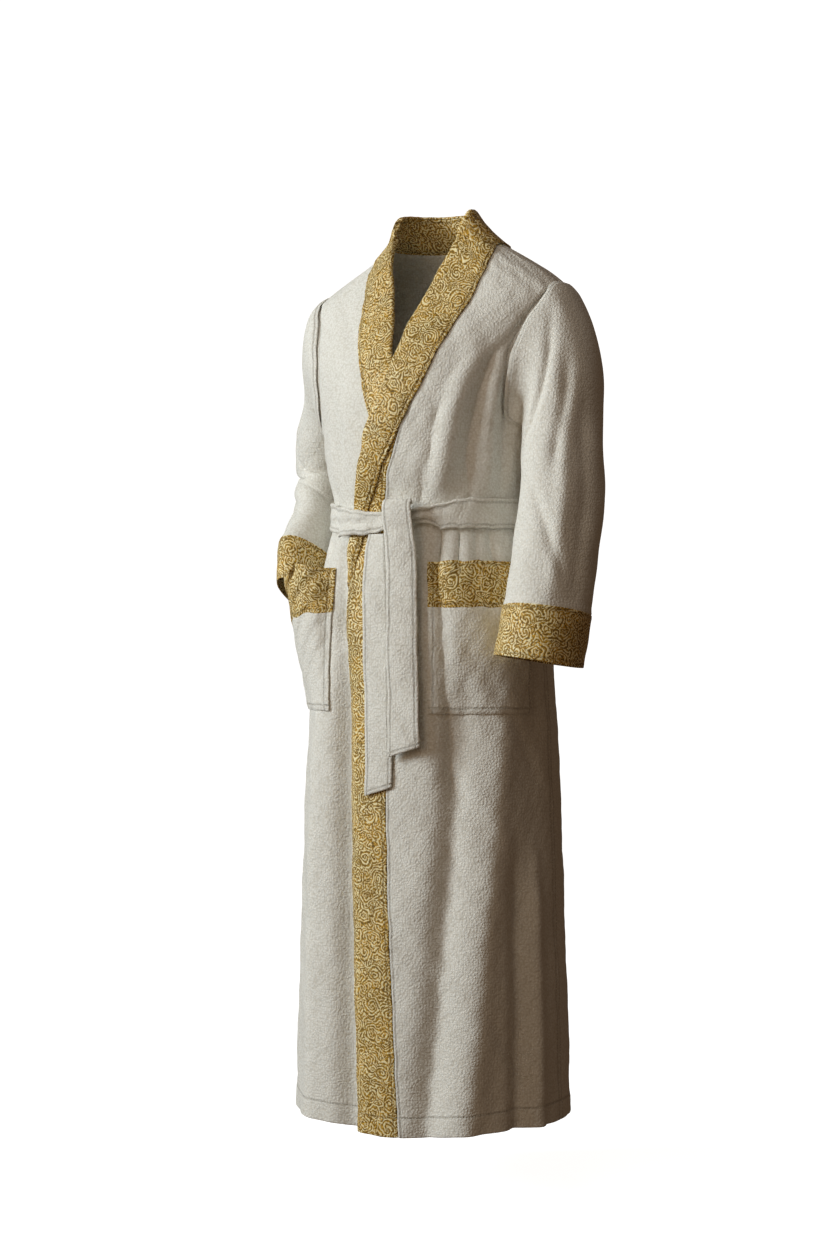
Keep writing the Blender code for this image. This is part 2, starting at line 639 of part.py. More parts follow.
def make_sleeve(side, rows, creases, mirror, cream, gold):
    grid = sleeve_grid(rows, creases, 20, mirror)
    out = ring_normals(grid)
    middle = grid.mean(axis=1, keepdims=True)
    if ((grid - middle) * out).sum() < 0:
        out = -out
    turn, height = armhole_ring(np.linspace(0, 2 * np.pi, 20, endpoint=False))
    flip = np.array([mirror, 1.0, 1.0])
    out[0] = normal(turn if mirror > 0 else 180 - turn, height) * flip
    cloth = slice(0, len(grid) - CUFF_RINGS + 1)
    inner, outer = grid[cloth], grid[cloth] + CLOTH * out[cloth]
    wall("sleeve_" + side, inner * flip, outer * flip, cream, ring=True)
    cuff = slice(len(grid) - CUFF_RINGS, len(grid))
    inner = grid[cuff] + (CLOTH + 0.0008) * out[cuff]
    wall("cuff_" + side, inner * flip, (inner + CLOTH * out[cuff]) * flip, gold, ring=True)


def left_mouth(share):
    return -0.5125 + 0.0 * share


def right_mouth(share):
    return -0.519 - 0.016 * share - 0.036 * share ** 2


def make_pocket(side, turns_top, turns_low, mouth, bulge, rise, cream, gold):
    """A patch pocket: its brocade band at the mouth, then its wool."""
    share = np.linspace(0, 1, 12)
    top = mouth(share)
    low = top - POCKET_HEIGHT
    stand_off = 0.0018
    if side == "right":
        low = np.full(len(share), -0.742)
        stand_off = 0.0010
    for name, start, end, rows, surface in (
        ("pocket_band_" + side, 0.0, POCKET_BAND, 3, gold),
        ("pocket_" + side, POCKET_BAND + SEAM, None, 6, cream),
    ):
        if end is None:
            end = top - low
        down = start + (end - start) * np.linspace(0, 1, rows)[:, None]
        height = top - down
        down_share = (top - height) / (top - low)
        first = turns_top[0] + (turns_low[0] - turns_top[0]) * down_share
        last = turns_top[1] + (turns_low[1] - turns_top[1]) * down_share
        turn = first + (last - first) * share
        stand = rise(turn, height) + CLOTH + stand_off + bulge(share, down_share)
        wall(name, place(turn, height, stand), place(turn, height, stand + CLOTH), surface)


def left_bulge(share, down):
    return 0.007 * np.sin(np.pi * share) * (1 - down) ** 2


def right_bulge(share, down):
    across = np.sin(np.pi * share ** 1.1) ** 0.7
    return 0.058 * across * (1 - down) ** 1.2


def make_belt(cream):
    turn = np.concatenate([np.linspace(-180, 30, 22)[:-1], np.linspace(30, 150, 19)[:-1]])
    turn = np.concatenate([turn, np.linspace(150, 180, 4)[:-1]])
    top = np.interp(turn, column(BELT, BELT_COLUMNS, "turn"), column(BELT, BELT_COLUMNS, "top"))
    low = np.interp(turn, column(BELT, BELT_COLUMNS, "turn"), column(BELT, BELT_COLUMNS, "bottom"))
    rise = np.interp(turn, column(BELT, BELT_COLUMNS, "turn"), column(BELT, BELT_COLUMNS, "rise"))
    height = low + (top - low) * np.linspace(0, 1, 4)[:, None]
    inner = place(turn[None, :], height, rise[None, :])
    outer = place(turn[None, :], height, rise[None, :] + CLOTH)
    wall("belt", inner, outer, cream, ring=True)


def turn_at(x, height):
    """The turn at the front where the form has a given x."""
    turns = np.linspace(150, 30, 241)
    found = [np.interp(a, form(turns, b)[:, 0], turns) for a, b in zip(x.ravel(), height.ravel())]
    return np.array(found).reshape(x.shape)


def make_tail(name, rows, cream):
    height = column(rows, TAIL_COLUMNS, "height")[:, None]
    first = column(rows, TAIL_COLUMNS, "inner_x")[:, None]
    last = column(rows, TAIL_COLUMNS, "outer_x")[:, None]
    rise = column(rows, TAIL_COLUMNS, "rise")[:, None]
    drop = column(rows, TAIL_COLUMNS, "drop")[:, None]
    share = np.linspace(0, 1, 4)[None, :]
    x = first + (last - first) * share
    height = height - drop * (1 - share)
    flat = np.minimum(height, -0.46)
    turn = turn_at(x, flat)
    base = place(turn, height, 0.0 * x)
    base[..., 1] = place(turn, flat, 0.0 * x)[..., 1]
    line = base + rise[..., None] * np.array([0.0, -1.0, 0.0])
    along = np.gradient(line, axis=0)
    across = np.gradient(line, axis=1)
    out = np.cross(along, across)
    out = out / np.linalg.norm(out, axis=-1, keepdims=True)
    if out[-1, 0, 1] > 0:
        out = -out
    wall(name, line, line + CLOTH * out, cream)


def make_knot(cream):
    """The knot, a flattened ball of folded cloth in front of the belt."""
    mesh = bpy.data.meshes.new("belt_knot")
    work = bmesh.new()
    bmesh.ops.create_uvsphere(work, u_segments=16, v_segments=10, radius=1.0)
    for point in work.verts:
        x, y, z = point.co
        square = max(abs(x), abs(z)) ** 0.25 if max(abs(x), abs(z)) > 0 else 1.0
        point.co = (0.023 * x / square, 0.0102 * y, 0.022 * z / square)
    bmesh.ops.recalc_face_normals(work, faces=work.faces)
    work.to_mesh(mesh)
    work.free()
    mesh.materials.append(cream)
    mesh.shade_smooth()
    knot = bpy.data.objects.new("belt_knot", mesh)
    middle = place(turn_at(np.array([0.013]), np.array([-0.444])), -0.444, 0.0)[0]
    knot.location = (0.013, middle[1] - 0.0237, -0.444)
    GOWN.objects.link(knot)


def make_loop(side, middle, cream):
    """A belt loop, sewn above and below the belt."""
    heights = np.array([-0.394, -0.403, -0.409, -0.435, -0.461, -0.467, -0.476])
    rise = np.array([0.0027, 0.0046, 0.0070, 0.0074, 0.0070, 0.0046, 0.0027])
    turn = middle + np.array([-1.8, 0.0, 1.8])[None, :]
    inner = place(turn, heights[:, None], rise[:, None])
    outer = place(turn, heights[:, None], rise[:, None] + 0.0018)
    wall("belt_loop_" + side, inner, outer, cream)


def cloth_material(name, colour, roughness):
    made = bpy.data.materials.new(name)
    made.use_nodes = True
    shader = made.node_tree.nodes["Principled BSDF"]
    shader.inputs["Base Color"].default_value = colour
    shader.inputs["Roughness"].default_value = roughness
    shader.inputs["Metallic"].default_value = 0.0
    return made


for old in list(bpy.data.objects):
    bpy.data.objects.remove(old)

GOWN = bpy.data.collections.new("dressing_gown")
bpy.context.scene.collection.children.link(GOWN)


def main():
    cream = cloth_material("cream_wool", CREAM, 0.9)
    gold = cloth_material("gold_brocade", GOLD, 0.7)
    make_back(cream)
    make_fronts(cream)
    make_band("band_left", LEFT_LEAD, LEFT_COLLAR, 1.0, wrap_lift, gold)
    make_band("band_right", RIGHT_LEAD, RIGHT_COLLAR, -1.0, flat_rise, gold)
    make_collar("collar_left", LEFT_COLLAR, wrap_lift, gold)
    make_collar("collar_right", RIGHT_COLLAR, flat_rise, gold)
    make_sleeve("left", LEFT_SLEEVE, LEFT_CREASES, 1.0, cream, gold)
    make_sleeve("right", RIGHT_SLEEVE, RIGHT_CREASES, -1.0, cream, gold)
    make_pocket("left", (69.5, 14.0), (69.5, 16.0), left_mouth, left_bulge, wrap_lift, cream, gold)
    make_pocket(
        "right", (127.5, 167.0), (122.5, 166.0), right_mouth, right_bulge, flat_rise, cream, gold
    )
    make_belt(cream)
    make_knot(cream)
    make_tail("belt_tail_front", FRONT_TAIL, cream)
    make_tail("belt_tail_back", BACK_TAIL, cream)
    make_loop("left", 8.0, cream)
    make_loop("right", 172.0, cream)


main()
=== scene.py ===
"""The looks of a long wool dressing gown with brocade bands, laid out as an add-on and run as a script.

Each sewn piece is a closed sheet of cloth on the form of its solid. The gown faces -Y, its own left
is +X, and the origin lies on its upright axis at the height of the neck points. A place on the body
is a turn (degrees, 0 at the left side, 90 at the front, 180 at the right side, 270 at the back), a
height and a rise, which is how far the cloth lies outside the body form.
"""

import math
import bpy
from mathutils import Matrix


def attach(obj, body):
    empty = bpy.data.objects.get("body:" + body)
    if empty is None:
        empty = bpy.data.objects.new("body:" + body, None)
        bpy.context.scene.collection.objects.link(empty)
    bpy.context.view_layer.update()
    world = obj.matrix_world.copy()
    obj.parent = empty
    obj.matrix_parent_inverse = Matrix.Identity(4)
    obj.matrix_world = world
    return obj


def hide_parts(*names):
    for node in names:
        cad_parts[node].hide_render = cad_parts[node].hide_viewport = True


bl_info = {
    "name": "Dressing gown",
    "version": (1, 0, 0),
    "blender": (4, 5, 0),
    "location": "3D View > Sidebar > Gown",
    "description": "Builds the cloth, stitching and stage of a long belted dressing gown",
    "category": "Add Mesh",
}

import bpy
import numpy as np
from bpy.props import FloatProperty, FloatVectorProperty, PointerProperty
from mathutils import Vector

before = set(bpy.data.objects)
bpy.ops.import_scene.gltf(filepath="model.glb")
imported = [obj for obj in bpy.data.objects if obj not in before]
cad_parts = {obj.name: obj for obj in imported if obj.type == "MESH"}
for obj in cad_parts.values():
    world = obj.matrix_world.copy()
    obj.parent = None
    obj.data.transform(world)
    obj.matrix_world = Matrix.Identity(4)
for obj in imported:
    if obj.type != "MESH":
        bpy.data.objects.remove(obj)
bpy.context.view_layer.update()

# Driving sizes, in metres.
CLOTH = 0.002
LAYER_GAP = 0.0012
HEM = -1.387
UNDERARM = -0.298
SHOULDER_TIP = -0.082
NECK_SEAM = -0.004
ARM_MIDDLE = -0.190
ARM_HALF_HEIGHT = 0.108
ARM_TURN_FRONT = 35.0
ARM_TURN_BACK = 30.0
ARM_LAP = 0.008
ARM_RISE = 0.0056
POCKET_HEIGHT = 0.231
POCKET_BAND = 0.068
SQUARENESS = 2.2
EDGE_BLEND = 8.0

# Level sections of the body form. Middle is how far back the centre lies, side how far left.
SECTION_COLUMNS = ("height", "half_width", "front", "back", "middle", "side")
SECTIONS = (
    (-1.387, 0.2245, 0.1720, 0.1672, 0.000, 0.000),
    (-1.210, 0.2206, 0.1682, 0.1633, 0.000, 0.000),
    (-1.050, 0.2145, 0.1638, 0.1589, 0.000, 0.000),
    (-0.888, 0.2096, 0.1593, 0.1544, 0.000, 0.000),
    (-0.744, 0.2015, 0.1545, 0.1487, 0.002, 0.000),
    (-0.600, 0.1907, 0.1482, 0.1324, 0.003, 0.000),
    (-0.500, 0.1740, 0.1390, 0.1080, 0.005, 0.000),
    (-0.434, 0.1600, 0.1270, 0.0920, 0.006, 0.000),
    (-0.360, 0.1750, 0.1440, 0.0970, 0.010, 0.000),
    (-0.300, 0.1820, 0.1530, 0.1010, 0.015, 0.000),
    (-0.250, 0.1960, 0.1560, 0.1020, 0.020, 0.000),
    (-0.190, 0.2120, 0.1490, 0.1010, 0.026, 0.001),
    (-0.130, 0.2240, 0.1180, 0.1000, 0.028, 0.004),
    (-0.088, 0.2200, 0.0940, 0.1000, 0.026, 0.009),
    (-0.055, 0.1780, 0.0760, 0.0960, 0.020, 0.017),
    (-0.025, 0.1290, 0.0550, 0.0880, 0.014, 0.020),
    (0.000, 0.0920, 0.0380, 0.0760, 0.008, 0.016),
    (0.030, 0.0680, 0.0280, 0.0680, 0.002, 0.008),
    (0.055, 0.0560, 0.0200, 0.0620, 0.000, 0.004),
)

# How far the hem rises or dips from its level, round the body.
HEM_COLUMNS = ("turn", "lift")
HEM_LINE = (
    (-200.0, 0.013),
    (-90.0, 0.008),
    (-20.0, 0.012),
    (12.0, 0.011),
    (37.0, 0.009),
    (53.0, 0.006),
    (68.0, -0.001),
    (97.0, -0.002),
    (112.0, 0.004),
    (128.0, 0.008),
    (160.0, 0.013),
    (270.0, 0.008),
    (340.0, 0.012),
    (380.0, 0.011),
)

# The left front's leading edge, and the seam between its band and the wool.
LEAD_COLUMNS = ("height", "lead_turn", "seam_turn")
LEFT_LEAD = (
    (-1.387, 98.9, 81.4),
    (-1.187, 102.0, 84.2),
    (-1.033, 104.6, 86.6),
    (-0.879, 107.0, 88.0),
    (-0.725, 110.2, 89.2),
    (-0.569, 113.0, 91.4),
    (-0.467, 114.2, 94.8),
    (-0.419, 113.4, 95.4),
    (-0.379, 107.8, 91.9),
    (-0.319, 101.8, 85.4),
    (-0.277, 96.4, 80.0),
    (-0.230, 90.4, 76.6),
    (-0.189, 86.7, 73.8),
    (-0.149, 85.8, 71.2),
    (-0.115, 84.8, 69.0),
    (-0.083, 83.2, 66.4),
    (-0.059, 81.0, 62.0),
    (-0.037, 77.6, 54.0),
    (-0.018, 71.4, 38.0),
    (-0.004, 63.6, 8.0),
)
RIGHT_LEAD = (
    (-1.387, 72.0, 86.5),
    (-1.033, 71.0, 86.0),
    (-0.725, 69.0, 85.0),
    (-0.569, 67.0, 85.5),
    (-0.467, 64.5, 83.5),
    (-0.419, 65.0, 84.0),
    (-0.379, 69.0, 87.0),
    (-0.319, 77.5, 93.5),
    (-0.277, 82.5, 97.0),
    (-0.230, 88.0, 101.0),
    (-0.189, 92.6, 104.6),
    (-0.149, 95.3, 107.4),
    (-0.115, 98.5, 109.6),
    (-0.083, 102.6, 112.0),
    (-0.059, 108.8, 116.2),
    (-0.037, 117.6, 126.0),
    (-0.018, 128.0, 145.0),
    (-0.004, 137.0, 174.0),
)

# The shawl collar's left half: where it rolls over, and where its free edge lies.
COLLAR_COLUMNS = ("roll_height", "roll_turn", "free_height", "free_turn")
LEFT_COLLAR = (
    (-0.549, 112.9, -0.5510, 112.1),
    (-0.530, 113.6, -0.536, 110.4),
    (-0.500, 114.2, -0.507, 109.2),
    (-0.467, 114.2, -0.475, 107.9),
    (-0.419, 113.4, -0.429, 106.4),
    (-0.379, 107.8, -0.392, 99.4),
    (-0.319, 101.8, -0.336, 89.3),
    (-0.277, 96.4, -0.298, 82.7),
    (-0.230, 90.4, -0.253, 76.6),
    (-0.189, 86.7, -0.214, 72.3),
    (-0.149, 85.8, -0.176, 69.2),
    (-0.115, 84.8, -0.142, 67.1),
    (-0.083, 83.2, -0.114, 65.5),
    (-0.055, 80.6, -0.092, 64.2),
    (-0.028, 75.2, -0.071, 61.3),
    (-0.004, 63.6, -0.052, 55.5),
    (0.014, 52.0, -0.034, 47.5),
    (0.030, 36.0, -0.017, 33.0),
    (0.042, 14.0, -0.008, 12.0),
    (0.048, -14.0, -0.008, -15.0),
    (0.050, -46.0, -0.013, -46.5),
    (0.050, -68.0, -0.017, -68.2),
    (0.050, -89.9, -0.019, -89.9),
)
RIGHT_COLLAR = (
    (-0.325, 76.8, -0.330, 84.0),
    (-0.300, 79.8, -0.313, 94.0),
    (-0.277, 82.5, -0.296, 99.3),
    (-0.230, 88.0, -0.253, 103.6),
    (-0.189, 92.6, -0.214, 106.0),
    (-0.149, 95.3, -0.176, 109.1),
    (-0.115, 98.5, -0.142, 111.4),
    (-0.083, 102.6, -0.112, 112.9),
    (-0.055, 110.0, -0.088, 115.0),
    (-0.028, 122.5, -0.068, 120.5),
    (-0.004, 137.0, -0.048, 129.5),
    (0.014, 149.0, -0.030, 141.0),
    (0.030, 162.0, -0.016, 156.0),
    (0.042, 177.0, -0.008, 173.0),
    (0.048, 200.0, -0.008, 198.0),
    (0.050, 228.0, -0.013, 227.5),
    (0.050, 250.0, -0.017, 249.8),
    (0.050, 269.9, -0.019, 269.9),
)

# Across the collar: distance past the roll edge, then shares of the way to the free edge.
FOLD_COLUMNS = ("past_edge", "share", "inner_rise", "outer_rise", "outer_past")
COLLAR_FOLD = (
    (0.0016, 0.00, 0.0000, -0.0002, 0.0036),
    (0.0027, 0.00, 0.0026, 0.0029, 0.0055),
    (0.0010, 0.00, 0.0050, 0.0070, 0.0034),
    (0.0000, 0.08, 0.0056, 0.0080, 0.0000),
    (0.0000, 0.35, 0.0056, 0.0078, 0.0000),
    (0.0000, 0.68, 0.0050, 0.0070, 0.0000),
    (0.0000, 1.00, 0.0030, 0.0050, 0.0000),
)

# Long soft folds of the body, each a line from its upper to its lower end: upper height and turn, lower
# height and turn, depth, which is below zero in a trough, and half width.
PLEATS = (
    (-0.090, 25.0, -0.210, 40.0, -0.0040, 0.012),
    (-0.150, 43.0, -0.425, 54.0, -0.0100, 0.014),
    (-0.170, 54.5, -0.425, 64.5, 0.0080, 0.013),
    (-0.330, 49.0, -0.425, 47.0, -0.0050, 0.009),
    (-0.130, 34.0, -0.425, 27.0, -0.0095, 0.013),
    (-0.150, 43.5, -0.425, 37.0, 0.0070, 0.012),
    (-0.200, 122.0, -0.415, 128.0, -0.0050, 0.016),
    (-0.330, 152.0, -0.425, 148.0, -0.0045, 0.012),
    (-0.445, 62.0, -0.575, 64.5, -0.0095, 0.0075),
    (-0.445, 35.0, -0.560, 34.0, -0.0060, 0.008),
    (-0.445, 124.5, -0.660, 117.0, -0.0105, 0.012),
    (-0.560, 50.0, -1.387, 70.0, -0.0145, 0.020),
    (-0.640, 31.5, -1.387, 55.0, 0.0100, 0.021),
    (-0.640, 14.0, -1.387, 26.0, -0.0050, 0.026),
    (-0.900, 29.0, -1.387, 31.0, -0.0120, 0.013),
    (-0.900, 17.0, -1.387, 19.0, 0.0105, 0.013),
    (-0.540, 114.0, -1.387, 105.5, -0.0165, 0.018),
    (-0.640, 131.0, -1.387, 126.0, 0.0095, 0.021),
    (-0.700, 162.0, -1.387, 160.0, -0.0060, 0.026),
    (-0.445, 226.0, -1.387, 224.0, -0.0100, 0.028),
    (-0.445, 254.0, -1.387, 252.0, 0.0070, 0.030),
    (-0.445, 284.0, -1.387, 284.0, -0.0080, 0.030),
    (-0.445, 312.0, -1.387, 314.0, -0.0080, 0.028),
    (-0.140, 296.0, -0.425, 290.0, -0.0060, 0.022),
    (-0.140, 244.0, -0.425, 250.0, -0.0060, 0.022),
    (-0.330, 270.0, -0.425, 270.0, -0.0050, 0.016),
)

# Rings of the sleeves, armhole to wrist. Outward tips up by tilt, forward is square to it; slope
# raises the front of a ring. Armhole is the share of the armhole's own outline that a ring keeps.
RING_COLUMNS = ("x", "y", "height", "out", "fore", "tilt", "slope", "armhole")
LEFT_SLEEVE = (
    (0.2140, 0.020, -0.200, 0.098, 0.076, 64.0, 0.0, 0.62),
    (0.2240, 0.014, -0.222, 0.082, 0.078, 50.0, 0.0, 0.24),
    (0.2300, 0.004, -0.254, 0.070, 0.077, 33.0, 0.0, 0.05),
    (0.2350, -0.010, -0.300, 0.060, 0.074, 16.0, 3.0, 0.0),
    (0.2415, -0.026, -0.348, 0.060, 0.071, 6.0, 6.0, 0.0),
    (0.2490, -0.042, -0.400, 0.062, 0.069, 2.0, 10.0, 0.0),
    (0.2520, -0.058, -0.452, 0.063, 0.068, 0.0, 12.0, 0.0),
    (0.2515, -0.074, -0.504, 0.063, 0.067, 0.0, 12.0, 0.0),
    (0.2505, -0.090, -0.554, 0.063, 0.066, -2.0, 10.0, 0.0),
    (0.2495, -0.101, -0.594, 0.063, 0.066, -4.0, 8.0, 0.0),
    (0.2480, -0.1120, -0.632, 0.063, 0.066, -6.0, 6.0, 0.0),
    (0.2465, -0.1200, -0.662, 0.063, 0.066, -7.0, 5.0, 0.0),
)
RIGHT_SLEEVE = (
    (0.2120, 0.030, -0.200, 0.090, 0.074, 64.0, 0.0, 0.62),
    (0.2140, 0.045, -0.222, 0.068, 0.072, 50.0, -6.0, 0.24),
    (0.2170, 0.064, -0.252, 0.050, 0.070, 33.0, -14.0, 0.05),
    (0.2365, 0.085, -0.292, 0.055, 0.070, 16.0, -18.0, 0.0),
    (0.2479, 0.105, -0.336, 0.056, 0.070, 6.0, -10.0, 0.0),
    (0.2452, 0.108, -0.376, 0.050, 0.076, 0.0, 12.0, 0.0),
    (0.2445, 0.088, -0.414, 0.047, 0.080, 0.0, 26.0, 0.0),
    (0.2320, 0.060, -0.448, 0.044, 0.080, 0.0, 31.0, 0.0),
    (0.2310, 0.030, -0.482, 0.042, 0.080, 0.0, 31.0, 0.0),
    (0.2305, 0.008, -0.508, 0.039, 0.079, 0.0, 28.0, 0.0),
    (0.2250, -0.009, -0.538, 0.033, 0.077, 0.0, 26.0, 0.0),
    (0.2220, -0.024, -0.564, 0.029, 0.073, 0.0, 26.0, 0.0),
)

# Creases of the sleeves: from one ring and turn to another ring and turn, depth and half width.
LEFT_CREASES = (
    (1.2, 45.0, 4.8, 135.0, -0.0060, 0.010),
    (2.6, 50.0, 5.6, 74.0, -0.0070, 0.012),
    (5.8, 118.0, 8.8, 48.0, -0.0045, 0.010),
    (3.2, 62.0, 9.4, 62.0, 0.0040, 0.012),
    (3.2, 30.0, 9.4, 30.0, -0.0050, 0.016),
    (2.0, 290.0, 7.0, 300.0, -0.0050, 0.014),
)
RIGHT_CREASES = (
    (2.0, 60.0, 5.0, 40.0, -0.0045, 0.012),
    (4.1, 30.0, 5.8, 115.0, -0.0035, 0.009),
    (5.4, 10.0, 6.4, 90.0, -0.0060, 0.010),
    (6.4, 60.0, 7.6, 140.0, -0.0025, 0.009),
    (6.6, 20.0, 8.6, 80.0, -0.0040, 0.010),
    (2.0, 290.0, 6.0, 300.0, -0.0050, 0.014),
)

# The belt round the waist.
BELT_COLUMNS = ("turn", "top", "bottom", "rise")
BELT = (
    (-180.0, -0.412, -0.458, 0.0044),
    (-90.0, -0.412, -0.458, 0.0044),
    (0.0, -0.412, -0.458, 0.0044),
    (30.0, -0.412, -0.458, 0.0044),
    (38.0, -0.412, -0.458, 0.0060),
    (48.0, -0.413, -0.459, 0.0084),
    (60.0, -0.418, -0.459, 0.0096),
    (76.0, -0.429, -0.450, 0.0100),
    (88.0, -0.430, -0.452, 0.0104),
    (97.0, -0.433, -0.466, 0.0134),
    (106.0, -0.431, -0.470, 0.0152),
    (117.0, -0.425, -0.470, 0.0158),
    (128.0, -0.420, -0.464, 0.0112),
    (142.0, -0.415, -0.456, 0.0058),
    (160.0, -0.412, -0.456, 0.0046),
    (180.0, -0.412, -0.458, 0.0044),
)

# The two hanging ends of the belt: each row is a level line across, between two widths from the middle.
TAIL_COLUMNS = ("height", "inner_x", "outer_x", "rise", "drop")
FRONT_TAIL = (
    (-0.4215, 0.003, 0.042, 0.0225, 0.0),
    (-0.4170, 0.000, 0.044, 0.0290, 0.0),
    (-0.4230, -0.001, 0.045, 0.0332, 0.0),
    (-0.4420, 0.000, 0.047, 0.0344, 0.0),
    (-0.4660, 0.003, 0.049, 0.0320, 0.0),
    (-0.4900, 0.006, 0.052, 0.0265, 0.0),
    (-0.5200, 0.008, 0.054, 0.0220, 0.0),
    (-0.5700, 0.010, 0.057, 0.0200, 0.0),
    (-0.6400, 0.012, 0.060, 0.0190, 0.0),
    (-0.7100, 0.015, 0.064, 0.0190, 0.0),
    (-0.7700, 0.017, 0.067, 0.0190, 0.004),
    (-0.7930, 0.017, 0.068, 0.0190, 0.016),
)
BACK_TAIL = (
    (-0.4680, -0.036, -0.003, 0.0140, 0.0),
    (-0.4950, -0.041, 0.000, 0.0110, 0.0),
    (-0.5400, -0.041, 0.004, 0.0088, 0.0),
    (-0.6000, -0.038, 0.008, 0.0080, 0.0),
    (-0.6700, -0.035, 0.012, 0.0080, 0.0),
    (-0.7400, -0.031, 0.015, 0.0080, 0.0),
    (-0.8100, -0.028, 0.017, 0.0080, 0.0),
    (-0.8450, -0.027, 0.018, 0.0080, 0.004),
    (-0.8560, -0.027, 0.018, 0.0080, 0.014),
)

# Finer folds than the solids have, laid out as the body's long folds are.
FINE_FOLDS = (
    (-0.470, 64.0, -0.900, 60.0, -0.0080, 0.012),
    (-0.095, 33.0, -0.250, 52.0, -0.0030, 0.009),
    (-0.240, 64.0, -0.425, 71.0, -0.0030, 0.010),
    (-0.350, 72.0, -0.425, 74.0, -0.0030, 0.008),
    (-0.445, 52.5, -0.545, 54.5, -0.0045, 0.0065),
    (-0.445, 44.0, -0.520, 45.0, -0.0030, 0.006),
    (-0.445, 139.0, -0.540, 142.0, -0.0030, 0.009),
    (-0.445, 158.0, -0.520, 160.0, -0.0028, 0.009),
    (-0.300, 140.0, -0.425, 137.0, -0.0028, 0.009),
    (-0.445, 206.0, -0.640, 204.0, -0.0035, 0.012),
    (-0.445, 270.0, -0.700, 270.0, -0.0035, 0.012),
    (-0.445, 332.0, -0.620, 334.0, -0.0035, 0.012),
)

# Long slow waves of hanging wool: size in metres, waves round the body, waves per metre down, start.
RIPPLES = (
    (0.00055, 11.0, 5.0, 0.4),
    (0.00045, -17.0, 8.0, 2.1),
    (0.00040, 23.0, -11.0, 4.0),
    (0.00030, -31.0, 17.0, 1.3),
    (0.00025, 41.0, 23.0, 5.2),
)

# Sizes of the sewing and of the cloth's own soft shapes, in metres. A sleeve's rings are numbered from
# its seam, and a place between two rings is a share of the way.
SEAM_VALLEY = 0.0018
SEAM_MARGIN = 0.004
ARMHOLE_MARGIN = 0.0130
TRIM_MARGIN = 0.0045
POCKET_MARGIN = 0.008
HEM_DEPTH = 0.029
SEAM_RISE = 0.0026
COLLAR_CROWN = 0.0008
CUFF_PUFF = 0.0016
BELT_FOLD = 0.0040
BELT_THICKNESS = 0.0034
SLEEVE_STEPS = 108
WRIST_RING = 12
CUFF_RING = 10
CUFF_START = 9.79
CUFF_PUFF_RING = 9.72
CUFF_PUFF_REACH = 0.13
CUFF_STAND = 0.0006
LEFT_OVER_RIGHT = 0.0048
LEFT_OVER_COLLAR = 0.0044
RIGHT_FALL = 0.0100
ARMHOLE_DIP = 0.0030
FAR = 1.0

# Slow waves of a sleeve: size, waves round it, waves from armhole to wrist, start.
SLEEVE_RIPPLES = (
    (0.0006, 3.0, 3.0, 0.5),
    (0.0005, -5.0, 5.0, 2.0),
    (0.0003, 7.0, 9.0, 4.0),
)

# The studio, in metres and degrees.
STAGE_FLOOR = -1.50
STAGE_FLAT = 5.6
STAGE_WALL = 7.2
STAGE_TALL = 6.0
KEY_PLACE = (-2.88, -2.92, 0.85)
KEY_AIM = (0.0, 0.0, -0.85)
TOP_PLACE = (0.20, -1.15, 0.85)
TOP_AIM = (0.1, -0.1, -0.2)
WARM_PLACE = (-0.60, -4.60, 0.20)
CAMERA_TURN = 28.0
CAMERA_AWAY = 3.8
CAMERA_HEIGHT = -0.606
CAMERA_LENS = 68.51
CAMERA_SHIFT = -16 / 1248

# Lamps: name, place, aim, width, height, which size holds the power, colour.
LAMPS = (
    ("key_softbox", KEY_PLACE, KEY_AIM, 1.7, 1.9, "key_power", (0.90, 0.97, 1.0)),
    ("warm_softbox", WARM_PLACE, KEY_AIM, 2.5, 2.5, "warm_power", (1.0, 0.74, 0.50)),
    ("top_softbox", TOP_PLACE, TOP_AIM, 0.8, 0.8, "top_power", (1.0, 0.95, 0.88)),
)

# How the finishes are drawn. The groove's width, its depths and the thread's relief are in metres.
# The groove's painted shades, nap depth and flowers are shares of one, wander and border are shares of a
# motif, and the rest are counts or strengths.
GROOVE_WIDTH = 0.0016
WOOL_GROOVE_DEPTH = 0.0006
# How much the wool's colour is dimmed along its stitching: painted shade in the groove.
WOOL_GROOVE_PAINTED_SHADE = 0.32
NAP_DEPTH = 0.36
BROCADE_GROOVE_DEPTH = 0.001
# How much the brocade's colour is dimmed along its stitching: painted shade in the groove.
BROCADE_GROOVE_PAINTED_SHADE = 0.25
THREAD_RELIEF = 0.0008
# How far single thread cells are pushed pale or dark at random: the pale ones are painted glints.
PAINTED_GLINT_SCATTER = 1.7
MOTIF_WANDER = 0.45
BIG_COILS = 6.3
SMALL_COILS = 3.2
PETALS = 6.0
PETAL_RINGS = 38.0
FLOWER_SHARE = 0.34
BORDER_WIDTH = 0.13

# Where the panels and the bands end, and how finely they are laid out.
FRONT_TOP = -0.012
BAND_TOP = -0.02
STAND_FOOT = NECK_SEAM + 0.0008
STAND_START = 0.16
PANEL_COLUMNS = 76
LEFT_FRONT_COLUMNS = 84
BAND_COLUMNS = 15
POCKET_COLUMNS = 49
RIGHT_POCKET_FOOT = -0.742

# The knot's middle and its half length and half height.
KNOT_X = 0.013
KNOT_HEIGHT = -0.444
KNOT_HALF_LENGTH = 0.0215
KNOT_HALF_HEIGHT = 0.0195

# A belt loop from top to foot: heights, and how far it stands out.
LOOP_HEIGHTS = (-0.394, -0.403, -0.409, -0.435, -0.461, -0.467, -0.476)
LOOP_RISE = (0.0024, 0.0050, 0.0092, 0.0098, 0.0092, 0.0050, 0.0024)
LOOP_HALF_TURN = 1.8

# The topstitching found while the pieces are sewn, which is laid once they all are.
STITCH_RUNS = {"cream_wool": [], "gold_brocade": []}


def column(rows, names, name):
    """One named column of a table."""
    return np.array([row[names.index(name)] for row in rows], float)


